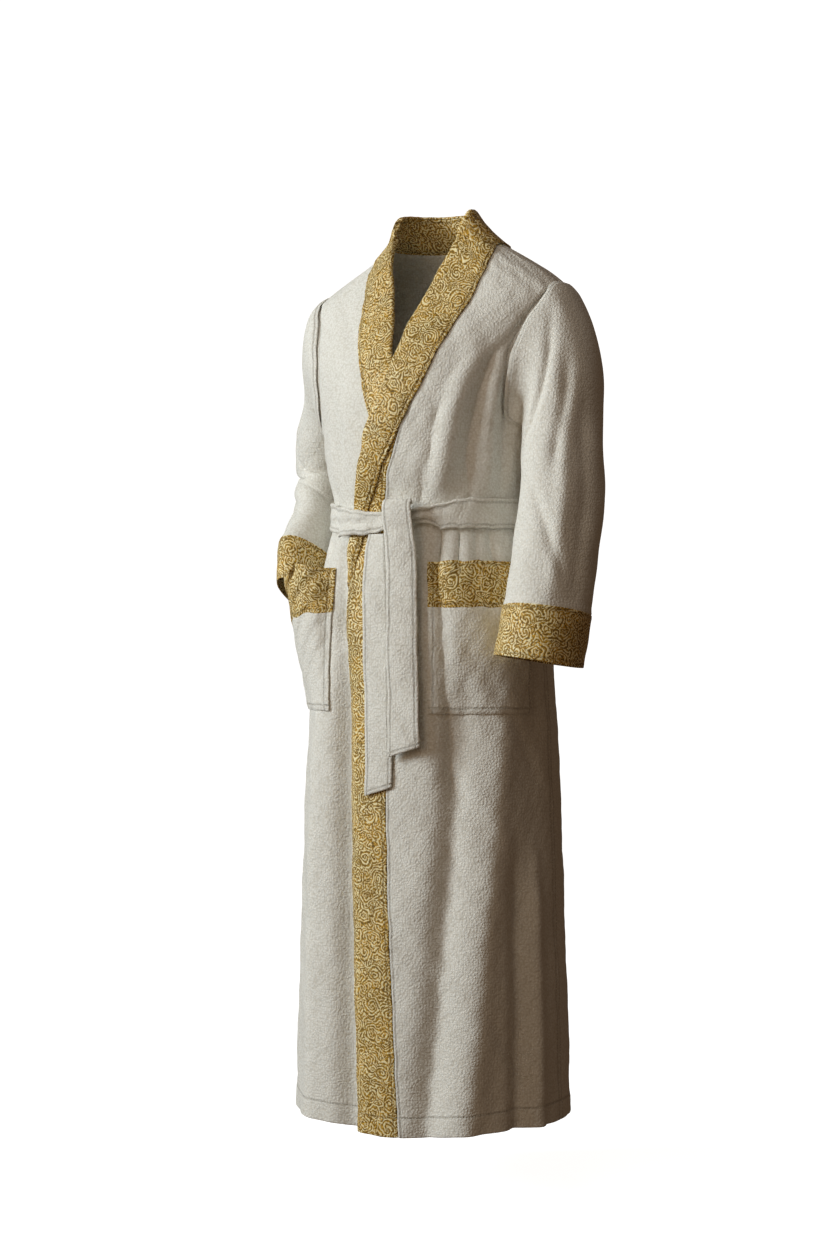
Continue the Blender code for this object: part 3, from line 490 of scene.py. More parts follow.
def smooth_between(values, slopes, gap, i, u):
    """A smooth curve through values, a share u of the way from row i to the next."""
    start = (1 + 2 * u) * (1 - u) ** 2 * values[i] + u * (1 - u) ** 2 * gap * slopes[i]
    end = u * u * (3 - 2 * u) * values[i + 1] + u * u * (u - 1) * gap * slopes[i + 1]
    return start + end


def unit(ways):
    """Directions brought to length one."""
    return ways / np.linalg.norm(ways, axis=-1, keepdims=True)


def soft(rows, names, key, name, at):
    """A column as a smooth curve through its rows, read at given values of the key column."""
    keys = column(rows, names, key)
    values = column(rows, names, name)
    slopes = np.gradient(values, keys)
    at = np.asarray(at, float)
    i = np.clip(np.searchsorted(keys, at) - 1, 0, len(keys) - 2)
    gap = keys[i + 1] - keys[i]
    return smooth_between(values, slopes, gap, i, np.clip((at - keys[i]) / gap, 0.0, 1.0))


def ease(low, high, at):
    """0 below low, 1 above high, smooth between."""
    u = np.clip((np.asarray(at, float) - low) / (high - low), 0.0, 1.0)
    return u * u * (3 - 2 * u)


def ripple(turn, height):
    """The slow waves of hanging wool."""
    angle = np.radians(turn)
    total = 0.0 * (turn + height)
    for size, around, down, start in RIPPLES:
        total = total + size * np.sin(around * angle + 2 * np.pi * down * height + start)
    return total


def fold_depth(turn, height):
    """All folds of the body: the solids' long ones, the finer ones and the slow waves."""
    total = ripple(turn, height)
    for upper, upper_turn, lower, lower_turn, depth, half in PLEATS + FINE_FOLDS:
        along = (upper - height) / (upper - lower)
        middle = upper_turn + (lower_turn - upper_turn) * np.clip(along, 0, 1)
        off = (turn - middle + 180) % 360 - 180
        off = np.radians(off) * 0.17 / half
        fade = ease(0.0, 0.3, along)
        if lower > HEM:
            fade = fade * ease(0.0, 0.3, 1 - along)
        total = total + depth * fade * np.exp(-off * off)
    return total


def section(height):
    """The form's half width, front and back depth, middle and side at a height."""
    return [soft(SECTIONS, SECTION_COLUMNS, "height", name, height) for name in SECTION_COLUMNS[1:]]


def form(turn, height):
    """A point of the body form."""
    half, front, back, middle, side = section(height)
    angle = np.radians(turn)
    c, s = np.cos(angle), np.sin(angle)
    stretch = (np.abs(c) ** SQUARENESS + np.abs(s) ** SQUARENESS) ** (-1 / SQUARENESS)
    depth = np.where(s > 0, front, back)
    out = fold_depth(turn, height)
    x = side + (half + out) * c * stretch
    y = middle - (depth + out) * s * stretch
    return np.stack([x, y, height + 0 * x], -1)


def normal(turn, height):
    """The form's outward direction."""
    across = form(turn + 0.5, height) - form(turn - 0.5, height)
    up = form(turn, height + 0.002) - form(turn, height - 0.002)
    return unit(np.cross(up, across))


def place(turn, height, rise):
    """A point of the cloth that lies a rise outside the form."""
    turn, height, rise = np.broadcast_arrays(turn, height, rise)
    turn = turn.astype(float)
    height = height.astype(float)
    return form(turn, height) + rise[..., None] * normal(turn, height)


def lead(rows, name, height):
    """A turn along a front's leading edge or band seam, at a height."""
    return soft(rows, LEAD_COLUMNS, "height", name, height)


def wrap_lift(turn, height):
    """How far the left front stands off the form where the right front lies under it."""
    below_crossing = ease(-0.09, -0.17, height)
    over_front = LEFT_OVER_RIGHT * ease(38.0, 56.0, turn)
    over_collar = LEFT_OVER_COLLAR * ease(50.0, 72.0, turn) * ease(-0.43, -0.36, height)
    return below_crossing * (over_front + over_collar)


def flat_rise(turn, height):
    """No rise, for cloth that follows the form itself. The folds are the form's own."""
    return 0.0 * turn


def right_rise(turn, height):
    """The right front falls away beside the left front's edge, where it goes in under it."""
    edge = soft(LEFT_LEAD, LEAD_COLUMNS, "height", "lead_turn", height)
    off = (turn - edge - 3.0) / 6.5
    return -RIGHT_FALL * np.exp(-off * off) * ease(-0.50, -0.62, height)


def armhole_turn(height, widest):
    """The armhole's outline: how far round from the side it reaches at a height."""
    share = np.clip((height - ARM_MIDDLE) / ARM_HALF_HEIGHT, -1, 1)
    return widest * (1 - share * share) ** 0.25


def hang(turn, height):
    """Heights near the hem, moved to the hem's own line."""
    lift = soft(HEM_LINE, HEM_COLUMNS, "turn", "lift", turn)
    return height + lift * ease(-1.20, HEM, height)


def hem_fold(height):
    """The turned-up hem makes the cloth a little thicker."""
    return 0.0008 * ease(HEM + HEM_DEPTH + 0.004, HEM + HEM_DEPTH - 0.001, height)


def lengths(grid, axis):
    """Running length along a grid's rows (axis 1) or columns (axis 0)."""
    step = np.linalg.norm(np.diff(grid, axis=axis), axis=-1)
    total = np.cumsum(step, axis=axis)
    pad = [(0, 0), (0, 0)]
    pad[axis] = (1, 0)
    return np.pad(total, pad)


def ring_normals(grid):
    """The directions square to a grid whose rows are closed rings."""
    wide = np.concatenate([grid[:, -1:], grid, grid[:, :1]], axis=1)
    return unit(np.cross(wide[:, 2:] - wide[:, :-2], np.gradient(grid, axis=0)))


def border_of(rows, columns):
    """The grid's border as (row, column) pairs in order, each with its inward neighbour."""
    loop = [(0, c) for c in range(columns)]
    loop += [(r, columns - 1) for r in range(1, rows)]
    loop += [(rows - 1, c) for c in range(columns - 2, -1, -1)]
    loop += [(r, 0) for r in range(rows - 2, 0, -1)]
    inward = []
    for r, c in loop:
        inward.append((min(max(r, 1), rows - 2), min(max(c, 1), columns - 2)))
    return loop, inward


def cloth_mesh(name, inner, outer, ring, stitch):
    """A closed sheet between an inner and an outer grid, with rounded edges, a cloth map in metres and
    two attributes that say how far each point lies from the lines of stitching."""
    rows, columns = inner.shape[:2]
    middle = (inner + outer) / 2
    thick = np.linalg.norm(outer - inner, axis=-1)
    index = np.arange(rows * columns).reshape(rows, columns)
    points = [inner.reshape(-1, 3), outer.reshape(-1, 3)]
    source = [index.ravel(), index.ravel()]
    faces = []
    half = rows * columns
    wide = columns if ring else columns - 1
    r = np.arange(rows - 1)[:, None]
    c = np.arange(wide)[None, :]
    corner = [index[r, c], index[r, (c + 1) % columns], index[r + 1, (c + 1) % columns], index[r + 1, c]]
    quads = np.stack([np.broadcast_to(k, (rows - 1, wide)) for k in corner], -1).reshape(-1, 4)
    faces.append(quads[:, ::-1])
    faces.append(quads + half)
    start = 2 * half
    if ring:
        edges = []
        last_row = (rows - 1, rows - 2, range(columns - 1, -1, -1))
        for row, inside, order in ((0, 1, range(columns)), last_row):
            edges.append([[(row, k) for k in order], [(inside, k) for k in order]])
    else:
        edges = [list(border_of(rows, columns))]
    for loop, inward in edges:
        loop, inward = np.array(loop), np.array(inward)
        at = middle[loop[:, 0], loop[:, 1]]
        way = unit(at - middle[inward[:, 0], inward[:, 1]])
        here = index[loop[:, 0], loop[:, 1]]
        t = thick[loop[:, 0], loop[:, 1]][:, None]
        n = len(loop)
        first = start
        for lift, out in ((-0.32, 0.30), (0.0, 0.44), (0.32, 0.30)):
            side = (outer - inner)[loop[:, 0], loop[:, 1]]
            points.append(at + way * t * out + side * lift)
            source.append(here)
        start += 3 * n
        chain = [here, *(first + k * n + np.arange(n) for k in range(3)), here + half]
        for low, high in zip(chain, chain[1:]):
            faces.append(np.stack([low, np.roll(low, -1), np.roll(high, -1), high], -1))
    points = np.concatenate(points)
    source = np.concatenate(source)
    faces = np.concatenate(faces)
    mesh = bpy.data.meshes.new(name)
    mesh.vertices.add(len(points))
    mesh.vertices.foreach_set("co", points.ravel())
    mesh.loops.add(faces.size)
    mesh.loops.foreach_set("vertex_index", faces.ravel().astype(np.int32))
    mesh.polygons.add(len(faces))
    mesh.polygons.foreach_set("loop_start", np.arange(0, faces.size, 4, dtype=np.int32))
    mesh.update(calc_edges=True)
    closed = np.concatenate([middle, middle[:, :1]], axis=1) if ring else middle
    u = lengths(closed, 1)
    v = lengths(closed, 0)
    v = np.broadcast_to(v.mean(axis=1, keepdims=True), v.shape)
    u = u - u[:, u.shape[1] // 2][:, None] if not ring else u
    loops = source[faces]
    row_of, column_of = loops // columns, loops % columns
    if ring:
        wraps = (column_of.max(axis=1) == columns - 1) & (column_of.min(axis=1) == 0)
        column_of = np.where(wraps[:, None] & (column_of == 0), columns, column_of)
    across, along = u[row_of, column_of], v[row_of, column_of]
    cloth = mesh.uv_layers.new(name="cloth")
    cloth.data.foreach_set("uv", np.stack([across, along], -1).astype(np.float32).ravel())
    for attribute, distance in zip(("stitch_across", "stitch_along"), stitch):
        near = mesh.attributes.new(attribute, "FLOAT", "POINT")
        near.data.foreach_set("value", distance.ravel()[source].astype(np.float32))
    mesh.shade_smooth()
    made = bpy.data.objects.new(name, mesh)
    bpy.context.scene.collection.objects.link(made)
    return made, middle, closed


def finish_outside(made):
    """Turns the faces outwards if the shell came out inside out."""
    mesh = made.data
    co = np.empty(len(mesh.vertices) * 3)
    mesh.vertices.foreach_get("co", co)
    co = co.reshape(-1, 3)
    at = np.empty(len(mesh.loops), np.int32)
    mesh.loops.foreach_get("vertex_index", at)
    quads = co[at.reshape(-1, 4)]
    volume = 0.0
    for a, b, c in ((0, 1, 2), (0, 2, 3)):
        volume += np.einsum("ij,ij->i", quads[:, a], np.cross(quads[:, b], quads[:, c])).sum()
    if volume < 0:
        mesh.flip_normals()


def sew(name, node, inner, outer, material, slot, ring=False, lines=()):
    """Makes a piece of cloth, hangs it on the root and hides the solid that it stands for."""
    out = unit(outer - inner)
    stitch = stitch_distances(outer, out, lines, ring, slot)
    made, middle, closed = cloth_mesh(name, inner, outer, ring, stitch)
    finish_outside(made)
    made.data.materials.append(material)
    a, b, c, d = closed[:-1, :-1], closed[:-1, 1:], closed[1:, 1:], closed[1:, :-1]
    halves = (np.linalg.norm(np.cross(p - a, q - a), axis=-1) for p, q in ((b, c), (c, d)))
    area = sum(halves).sum() / 2
    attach(made, "root")
    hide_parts(node)
    return made


def linear(hexed):
    """An sRGB hex colour as linear red, green, blue and alpha."""
    made = []
    for k in (0, 2, 4):
        value = int(hexed[k:k + 2], 16) / 255
        made.append(value / 12.92 if value <= 0.04045 else ((value + 0.055) / 1.055) ** 2.4)
    return (*made, 1.0)


def add(tree, kind, inputs=None, out=None, **settings):
    """Adds a node with its settings; an input is a value or another node's output. It gives the output
    that out names, or else the node."""
    made = tree.nodes.new("ShaderNode" + kind)
    for name, value in settings.items():
        setattr(made, name, value)
    for key, value in (inputs or {}).items():
        if isinstance(value, bpy.types.NodeSocket):
            tree.links.new(value, made.inputs[key])
        else:
            made.inputs[key].default_value = value
    return made if out is None else made.outputs[out]


def set_inputs(node, values):
    """Sets a node's own values."""
    for name, value in values.items():
        node.inputs[name].default_value = value


def new_material(name):
    """A material with its nodes and its shader."""
    made = bpy.data.materials.new(name)
    made.use_nodes = True
    tree = made.node_tree
    shader = tree.nodes["Principled BSDF"]
    return made, tree, shader


def stitch_groove(tree):
    """1 in the middle of a line of stitching, 0 away from it. It sinks the relief there and sets the painted
    shade in the groove.
    """
    near = []
    for name in ("stitch_across", "stitch_along"):
        distance = add(tree, "Attribute", out="Fac", attribute_name=name)
        near.append(add(tree, "Math", {0: distance}, 0, operation="ABSOLUTE"))
    nearest = add(tree, "Math", {0: near[0], 1: near[1]}, 0, operation="MINIMUM")
    off = add(tree, "Math", {0: nearest, 1: GROOVE_WIDTH}, 0, operation="DIVIDE")
    square = add(tree, "Math", {0: off, 1: off}, 0, operation="MULTIPLY")
    minus = add(tree, "Math", {0: square, 1: -1.0}, 0, operation="MULTIPLY")
    return add(tree, "Math", {0: minus}, 0, operation="EXPONENT")


def finish_cloth(tree, shader, colour, level, relief, groove, depth):
    """Gives the shader a cloth's colour, dimmed by a level that holds painted groove shade, and its relief,
    sunk along the stitching.
    """
    grey = add(tree, "CombineColor", {0: level, 1: level, 2: level}, 0)
    inputs = {"Factor": 1.0, "A": colour, "B": grey}
    dimmed = add(tree, "Mix", inputs, "Result", data_type="RGBA", blend_type="MULTIPLY")
    tree.links.new(dimmed, shader.inputs["Base Color"])
    sunk = add(tree, "Math", {0: groove, 1: -1.0}, 0, operation="MULTIPLY")
    inputs = {"Height": sunk, "Distance": depth, "Strength": 1.0, "Normal": relief}
    tree.links.new(add(tree, "Bump", inputs, 0), shader.inputs["Normal"])


def crepe_wool(sizes):
    """The gown's cream cloth."""
    # Crepe wool coating, woven of hard-twisted yarn, dyed in the piece, milled and lightly raised. To the
    # eye it is matt and pebbly, with no highlight and a faint soft glow where it turns away.
    # The real grain is about 1 mm across; it is drawn nearly 4 mm, the finest that shows at this size.
    made, tree, shader = new_material("crepe_wool")
    at = add(tree, "TexCoord", out="Object")
    inputs = {"Vector": at, "Scale": 1.6 / sizes.nap_size, "Detail": 1.0, "Roughness": 0.5}
    nap = add(tree, "TexNoise", inputs, 0)
    inputs = {"Vector": at, "Scale": 1 / sizes.nap_size, "Randomness": 0.8}
    pebble = add(tree, "TexVoronoi", inputs, "Distance")
    slow = add(tree, "TexNoise", {"Vector": at, "Scale": 9.0, "Detail": 2.0}, 0)
    # Each tuft is lighter at its raised middle and dimmer towards its edges, as its relief is: painted shade
    # between the tufts.
    inputs = {0: pebble, 1: -1.3, 2: 1.15}
    tone = add(tree, "Math", inputs, 0, operation="MULTIPLY_ADD", use_clamp=True)
    inputs = {"Factor": tone, "A": (*sizes.wool_hollow_painted_shade, 1.0), "B": (*sizes.wool_light, 1.0)}
    colour = add(tree, "Mix", inputs, "Result", data_type="RGBA")
    slow_tone = add(tree, "Math", {0: slow, 1: 0.10, 2: 0.95}, 0, operation="MULTIPLY_ADD")
    groove = stitch_groove(tree)
    # The wool's colour is dimmed along each line of stitching: painted shade in the groove.
    inputs = {0: groove, 1: -WOOL_GROOVE_PAINTED_SHADE, 2: 1.0}
    painted_groove_shade = add(tree, "Math", inputs, 0, operation="MULTIPLY_ADD")
    level = add(tree, "Math", {0: slow_tone, 1: painted_groove_shade}, 0, operation="MULTIPLY")
    soft_nap = add(tree, "Math", {0: nap, 1: 0.35}, 0, operation="MULTIPLY")
    height = add(tree, "Math", {0: pebble, 1: -0.8, 2: soft_nap}, 0, operation="MULTIPLY_ADD")
    inputs = {"Height": height, "Distance": sizes.nap_size * NAP_DEPTH, "Strength": 0.8}
    relief = add(tree, "Bump", inputs, 0)
    finish_cloth(tree, shader, colour, level, relief, groove, WOOL_GROOVE_DEPTH)
    set_inputs(shader, {
        "Roughness": 0.92,
        "Specular IOR Level": 0.25,
        "Sheen Weight": 0.18,
        "Sheen Roughness": 0.55,
    })
    return made


def scroll_layer(tree, at, scale, rings, random):
    """Scrolls that fill their cells: how far along its coil each place lies, the cell's own numbers, how
    near the border between two cells is, how far the cell's middle is, and the angle round it."""
    inputs = {"Vector": at, "Scale": scale, "Randomness": random}
    cells = add(tree, "TexVoronoi", inputs, voronoi_dimensions="2D")
    border = add(
        tree, "TexVoronoi", inputs, "Distance", voronoi_dimensions="2D", feature="DISTANCE_TO_EDGE"
    )
    inputs = {0: at, 1: cells.outputs["Position"]}
    away = add(tree, "VectorMath", inputs, 0, operation="SUBTRACT")
    parts = add(tree, "SeparateXYZ", {0: away})
    inputs = {0: parts.outputs[1], 1: parts.outputs[0]}
    angle = add(tree, "Math", inputs, 0, operation="ARCTAN2")
    number = add(tree, "SeparateColor", {0: cells.outputs["Color"]})
    half = add(tree, "Math", {0: number.outputs[0], 1: 0.5}, 0, operation="SUBTRACT")
    side = add(tree, "Math", {0: half}, 0, operation="SIGN")
    wide = add(tree, "Math", {0: number.outputs[1], 1: 1.4}, 0, operation="MULTIPLY")
    whole = add(tree, "Math", {0: wide}, 0, operation="ROUND")
    arms = add(tree, "Math", {0: whole, 1: 1.0}, 0, operation="ADD")
    turned = add(tree, "Math", {0: angle, 1: arms}, 0, operation="MULTIPLY")
    turning = add(tree, "Math", {0: turned, 1: side}, 0, operation="MULTIPLY")
    distance = cells.outputs["Distance"]
    inputs = {0: distance, 1: rings * 2 * math.pi, 2: turning}
    coil = add(tree, "Math", inputs, 0, operation="MULTIPLY_ADD")
    return coil, number, border, distance, angle


def woven_brocade(sizes):
    """The bands', collar's and cuffs' figured cloth."""
    # Gold brocade, a jacquard-woven satin with an extra weft of silky thread that floats over a mustard
    # ground in scrolls and rosettes. To the eye the raised thread glints pale, the ground is duller and
    # warmer, and the gaps between are bronze. Real threads are 0.3 mm; they are drawn 2.4 mm wide to show.
    made, tree, shader = new_material("woven_brocade")
    cloth = add(tree, "UVMap", out=0, uv_map="cloth")
    motif = sizes.motif_size
    wander = add(tree, "TexNoise", {"Vector": cloth, "Scale": 1.6 / motif, "Detail": 1.0}, "Color")
    shift = add(tree, "VectorMath", {0: wander, 1: (0.5, 0.5, 0.5)}, 0, operation="SUBTRACT")
    shift = add(tree, "VectorMath", {0: shift, "Scale": motif * MOTIF_WANDER}, 0, operation="SCALE")
    at = add(tree, "VectorMath", {0: cloth, 1: shift}, 0, operation="ADD")
    coil, number, border, distance, angle = scroll_layer(tree, at, 1 / motif, BIG_COILS, 0.8)
    curl = scroll_layer(tree, at, 2.0 / motif, SMALL_COILS, 1.0)[0]
    around = add(tree, "Math", {0: angle, 1: PETALS}, 0, operation="MULTIPLY")
    petals = add(tree, "Math", {0: around}, 0, operation="COSINE")
    outward = add(tree, "Math", {0: distance, 1: PETAL_RINGS}, 0, operation="MULTIPLY")
    flower = add(tree, "Math", {0: petals, 1: 0.9, 2: outward}, 0, operation="MULTIPLY_ADD")
    inputs = {0: number.outputs[2], 1: 1 - FLOWER_SHARE}
    is_flower = add(tree, "Math", inputs, 0, operation="GREATER_THAN")
    big = add(tree, "Mix", {"Factor": is_flower, "A": coil, "B": flower}, 0)
    wave = add(tree, "Math", {0: big}, 0, operation="SINE")
    small_wave = add(tree, "Math", {0: curl}, 0, operation="SINE")
    in_small = add(tree, "Math", {0: border, 1: BORDER_WIDTH}, 0, operation="LESS_THAN")
    line = add(tree, "Mix", {"Factor": in_small, "A": wave, "B": small_wave}, 0)
    # Each thread cell gets a random nudge that turns some pale and some dark: the pale cells are painted
    # glints.
    inputs = {"Vector": cloth, "Scale": 1 / sizes.thread_size, "Randomness": 1.0}
    floats = add(tree, "TexVoronoi", inputs, "Color", voronoi_dimensions="2D")
    speck = add(tree, "SeparateColor", {0: floats}, 0)
    spread = add(tree, "Math", {0: speck, 1: 0.5}, 0, operation="SUBTRACT")
    inputs = {0: spread, 1: PAINTED_GLINT_SCATTER, 2: line}
    line_with_painted_glints = add(tree, "Math", inputs, 0, operation="MULTIPLY_ADD")
    pale, dark = (
        add(tree, "MapRange", {"Value": line_with_painted_glints, "From Min": low, "From Max": high}, 0,
            interpolation_type="SMOOTHSTEP")
        for low, high in ((0.0, 0.60), (-0.50, -0.95))
    )
    patch = add(tree, "TexNoise", {"Vector": cloth, "Scale": 0.55 / motif, "Detail": 1.0}, 0)
    richness = add(tree, "MapRange", {"Value": patch, "From Min": 0.42, "From Max": 0.62}, 0)
    colour = (*sizes.gold_ground, 1.0)
    for share, thread in (
        (richness, sizes.gold_deep),
        (dark, sizes.bronze_thread),
        (pale, sizes.pale_thread),
    ):
        inputs = {"Factor": share, "A": colour, "B": (*thread, 1.0)}
        colour = add(tree, "Mix", inputs, "Result", data_type="RGBA")
    groove = stitch_groove(tree)
    # The brocade's colour is dimmed along each line of stitching: painted shade in the groove.
    inputs = {0: groove, 1: -BROCADE_GROOVE_PAINTED_SHADE, 2: 1.0}
    painted_groove_shade = add(tree, "Math", inputs, 0, operation="MULTIPLY_ADD")
    rough = add(tree, "Math", {0: pale, 1: -0.16, 2: 0.66}, 0, operation="MULTIPLY_ADD")
    tree.links.new(rough, shader.inputs["Roughness"])
    raised = add(tree, "Math", {0: speck, 1: 0.6, 2: pale}, 0, operation="MULTIPLY_ADD")
    inputs = {"Height": raised, "Distance": THREAD_RELIEF, "Strength": 0.9}
    relief = add(tree, "Bump", inputs, 0)
    finish_cloth(tree, shader, colour, painted_groove_shade, relief, groove, BROCADE_GROOVE_DEPTH)
    set_inputs(shader, {"Specular IOR Level": 0.4, "Sheen Weight": 0.1})
    return made


def sewing_thread(name, colour):
    """The topstitching."""
    # Mercerised cotton sewing thread, dyed to match its cloth. To the eye it is smooth, with a faint shine
    # along its twist. Real thread is 0.4 mm wide; it is drawn 0.9 mm to show.
    made, tree, shader = new_material(name)
    at = add(tree, "TexCoord", out="Object")
    # The colour is banded along the twist: the dim bands are painted shade in the twist's hollows.
    twist = add(tree, "TexWave", {"Vector": at, "Scale": 260.0, "Distortion": 1.0}, "Fac")
    twist_hollow_painted_shade = tuple(0.78 * v for v in colour[:3]) + (1.0,)
    inputs = {"Factor": twist, "A": twist_hollow_painted_shade, "B": colour}
    tone = add(tree, "Mix", inputs, "Result", data_type="RGBA")
    tree.links.new(tone, shader.inputs["Base Color"])
    set_inputs(shader, {"Roughness": 0.6})
    return made


def inset(grid, out, along, distance, axis):
    """The line that runs a distance in from a grid's first row or column, with its outward directions."""
    if axis == 0:
        grid, out, along = grid.swapaxes(0, 1), out.swapaxes(0, 1), along.T
    path, ways = [], []
    for points, normals, lengths_here, far in zip(grid, out, along, np.broadcast_to(distance, len(grid))):
        if lengths_here[-1] < 1.6 * far:
            continue
        path.append([np.interp(far, lengths_here, points[:, k]) for k in range(3)])
        ways.append([np.interp(far, lengths_here, normals[:, k]) for k in range(3)])
    return np.array(path), np.array(ways)


def stitch_distances(outer, out, lines, ring, cloth_key):
    """Signed distances from the lines of stitching across and along a sheet, and their stitch runs."""
    across = np.full(outer.shape[:2], FAR)
    along = np.full(outer.shape[:2], FAR)
    for edge, margin in lines:
        axis = 1 if edge in ("start", "end") else 0
        back = edge in ("end", "last")
        turned = (slice(None), slice(None, None, -1)) if axis == 1 else (slice(None, None, -1), slice(None))
        grid, normals = (outer[turned], out[turned]) if back else (outer, out)
        length = lengths(grid, axis)
        near = length[turned] if back else length
        if axis == 1:
            off = near - np.broadcast_to(margin, len(near))[:, None]
            across = np.where(np.abs(off) < np.abs(across), off, across)
        else:
            along = np.where(np.abs(near - margin) < np.abs(along), near - margin, along)
        path, ways = inset(grid, normals, length, margin, axis)
        if ring and axis == 0:
            path, ways = np.concatenate([path, path[:1]]), np.concatenate([ways, ways[:1]])
        if len(path) > 1:
            STITCH_RUNS[cloth_key].append((path, ways))
    return across, along


def resample(values, counts):
    """A table's column read smoothly at many places: counts steps between each row and the next."""
    keys = np.arange(len(values), dtype=float)
    at = [0.0]
    for k, count in enumerate(np.broadcast_to(counts, len(values) - 1)):
        at += list(k + np.arange(1, count + 1) / count)
    return read_rows(values, np.array(at))


def read_rows(values, at):
    """A table's column as a smooth curve through its rows, read at row numbers."""
    values = np.asarray(values, float)
    slopes = np.gradient(values)
    i = np.clip(np.floor(at).astype(int), 0, len(values) - 2)
    return smooth_between(values, slopes, 1.0, i, at - i)


def cloth_heights(top):
    """Level rows from hem to top, close together where a panel's edge turns quickly."""
    plain = list(np.linspace(HEM, -0.10, 162)) + list(np.linspace(-0.10, top, 24)[1:])
    plain += [HEM + 0.0015, HEM + 0.004]
    ends = (0.0003, 0.001, 0.0024, 0.0048)
    plain += [UNDERARM + d for d in ends] + [SHOULDER_TIP - d for d in ends]
    rows = np.unique(np.round(plain, 5))
    keep = np.concatenate([[True], np.diff(rows) > 0.00025])
    return rows[keep]


def seam_turn(height, gap=SEAM_VALLEY):
    """Half a seam's valley as a turn, beside the form's two sides."""
    depth = soft(SECTIONS, SECTION_COLUMNS, "height", "front", height)
    return np.degrees(gap / 2 / depth)


def push_in(turn, plain, edge, share):
    """Columns that start at a plain turn, moved so that they start at an edge, the nearest ones most."""
    def soft_step(past):
        return 0.5 * (past + np.sqrt(past * past + EDGE_BLEND ** 2))

    far = turn[:, -1:] - edge
    moved = edge + soft_step(turn - edge) - soft_step(plain - edge) * (1 - share)
    return moved - (soft_step(far) - far) * share


def side_edge(height, widest):
    """The edge of a panel at the left side: side seam, armhole, then shoulder seam."""
    seam = seam_turn(height)
    inside = (height > UNDERARM) & (height < SHOULDER_TIP)
    return np.where(inside, np.maximum(armhole_turn(height, widest), seam), seam)


def armhole_dip(turn, height):
    """The panel sinks a little along the sleeve's seam, which draws a line of shade beside it."""
    signed = (turn + 180) % 360 - 180
    off = np.minimum(np.abs(signed), 180 - np.abs(signed))
    below_tip = ease(SHOULDER_TIP + 0.012, SHOULDER_TIP - 0.01, height)
    edge = armhole_turn(height, np.where(signed > 0, ARM_TURN_FRONT, ARM_TURN_BACK))
    past = (off - edge - 4.5) / 2.4
    inside = ease(UNDERARM, UNDERARM + 0.03, height) * below_tip
    return -ARMHOLE_DIP * np.exp(-past * past) * inside


def panel_grids(heights, plain, edges, steps, rise):
    """The inner and outer faces of a body panel."""
    share = np.linspace(0, 1, steps)
    plain_start, plain_end = plain[0][:, None], plain[1][:, None]
    turn = plain_start + (plain_end - plain_start) * share
    turn = push_in(turn, plain_start, edges[0][:, None], share)
    turn = -push_in(-turn[:, ::-1], -plain_end, -edges[1][:, None], share)[:, ::-1]
    level = heights[:, None] + 0 * turn
    height = hang(turn, level)
    lift = rise(turn, height) + armhole_dip(turn, height)
    fold = hem_fold(level)
    return place(turn, height, lift - fold * 0.4), place(turn, height, lift + CLOTH + fold)


def side_margin(heights):
    """How far in a panel's side is topstitched: further in along the armhole, clear of the sleeve's lap."""
    # Along the armhole the stitching's painted groove shade lies just past the sleeve's edge and stands in
    # for the seam's line of shade.
    return np.where((heights > UNDERARM) & (heights < SHOULDER_TIP), ARMHOLE_MARGIN, SEAM_MARGIN)


def make_back(wool):
    """The back, in one piece."""
    heights = cloth_heights(NECK_SEAM)
    seam = seam_turn(heights)
    edge = side_edge(heights, ARM_TURN_BACK)
    plain, edges = (180 + seam, 360 - seam), (180 + edge, 360 - edge)
    inner, outer = panel_grids(heights, plain, edges, PANEL_COLUMNS, flat_rise)
    sew("back_cloth", "back", inner, outer, wool, "cream_wool",
        lines=(("start", side_margin(heights)), ("end", side_margin(heights)), ("first", HEM_DEPTH)))


def make_fronts(wool):
    """Both fronts, from the side seam to the seam of the front band."""
    heights = cloth_heights(FRONT_TOP)
    seam = seam_turn(heights)
    edge = side_edge(heights, ARM_TURN_FRONT)
    lines = (("start", side_margin(heights)), ("end", SEAM_MARGIN), ("first", HEM_DEPTH))
    band = np.maximum(lead(LEFT_LEAD, "seam_turn", heights) - seam, edge + 1.5)
    inner, outer = panel_grids(heights, (seam, band), (edge, band), LEFT_FRONT_COLUMNS, wrap_lift)
    sew("front_left_cloth", "front_left", inner, outer, wool, "cream_wool", lines=lines)
    band = np.minimum(lead(RIGHT_LEAD, "seam_turn", heights) + seam, 178.5 - edge)
    plain, edges = (band, 180 - seam), (band, 180 - edge)
    inner, outer = panel_grids(heights, plain, edges, PANEL_COLUMNS, right_rise)
    lines = (("start", SEAM_MARGIN), ("end", side_margin(heights)), ("first", HEM_DEPTH))
    sew("front_right_cloth", "front_right", inner, outer, wool, "cream_wool", lines=lines)


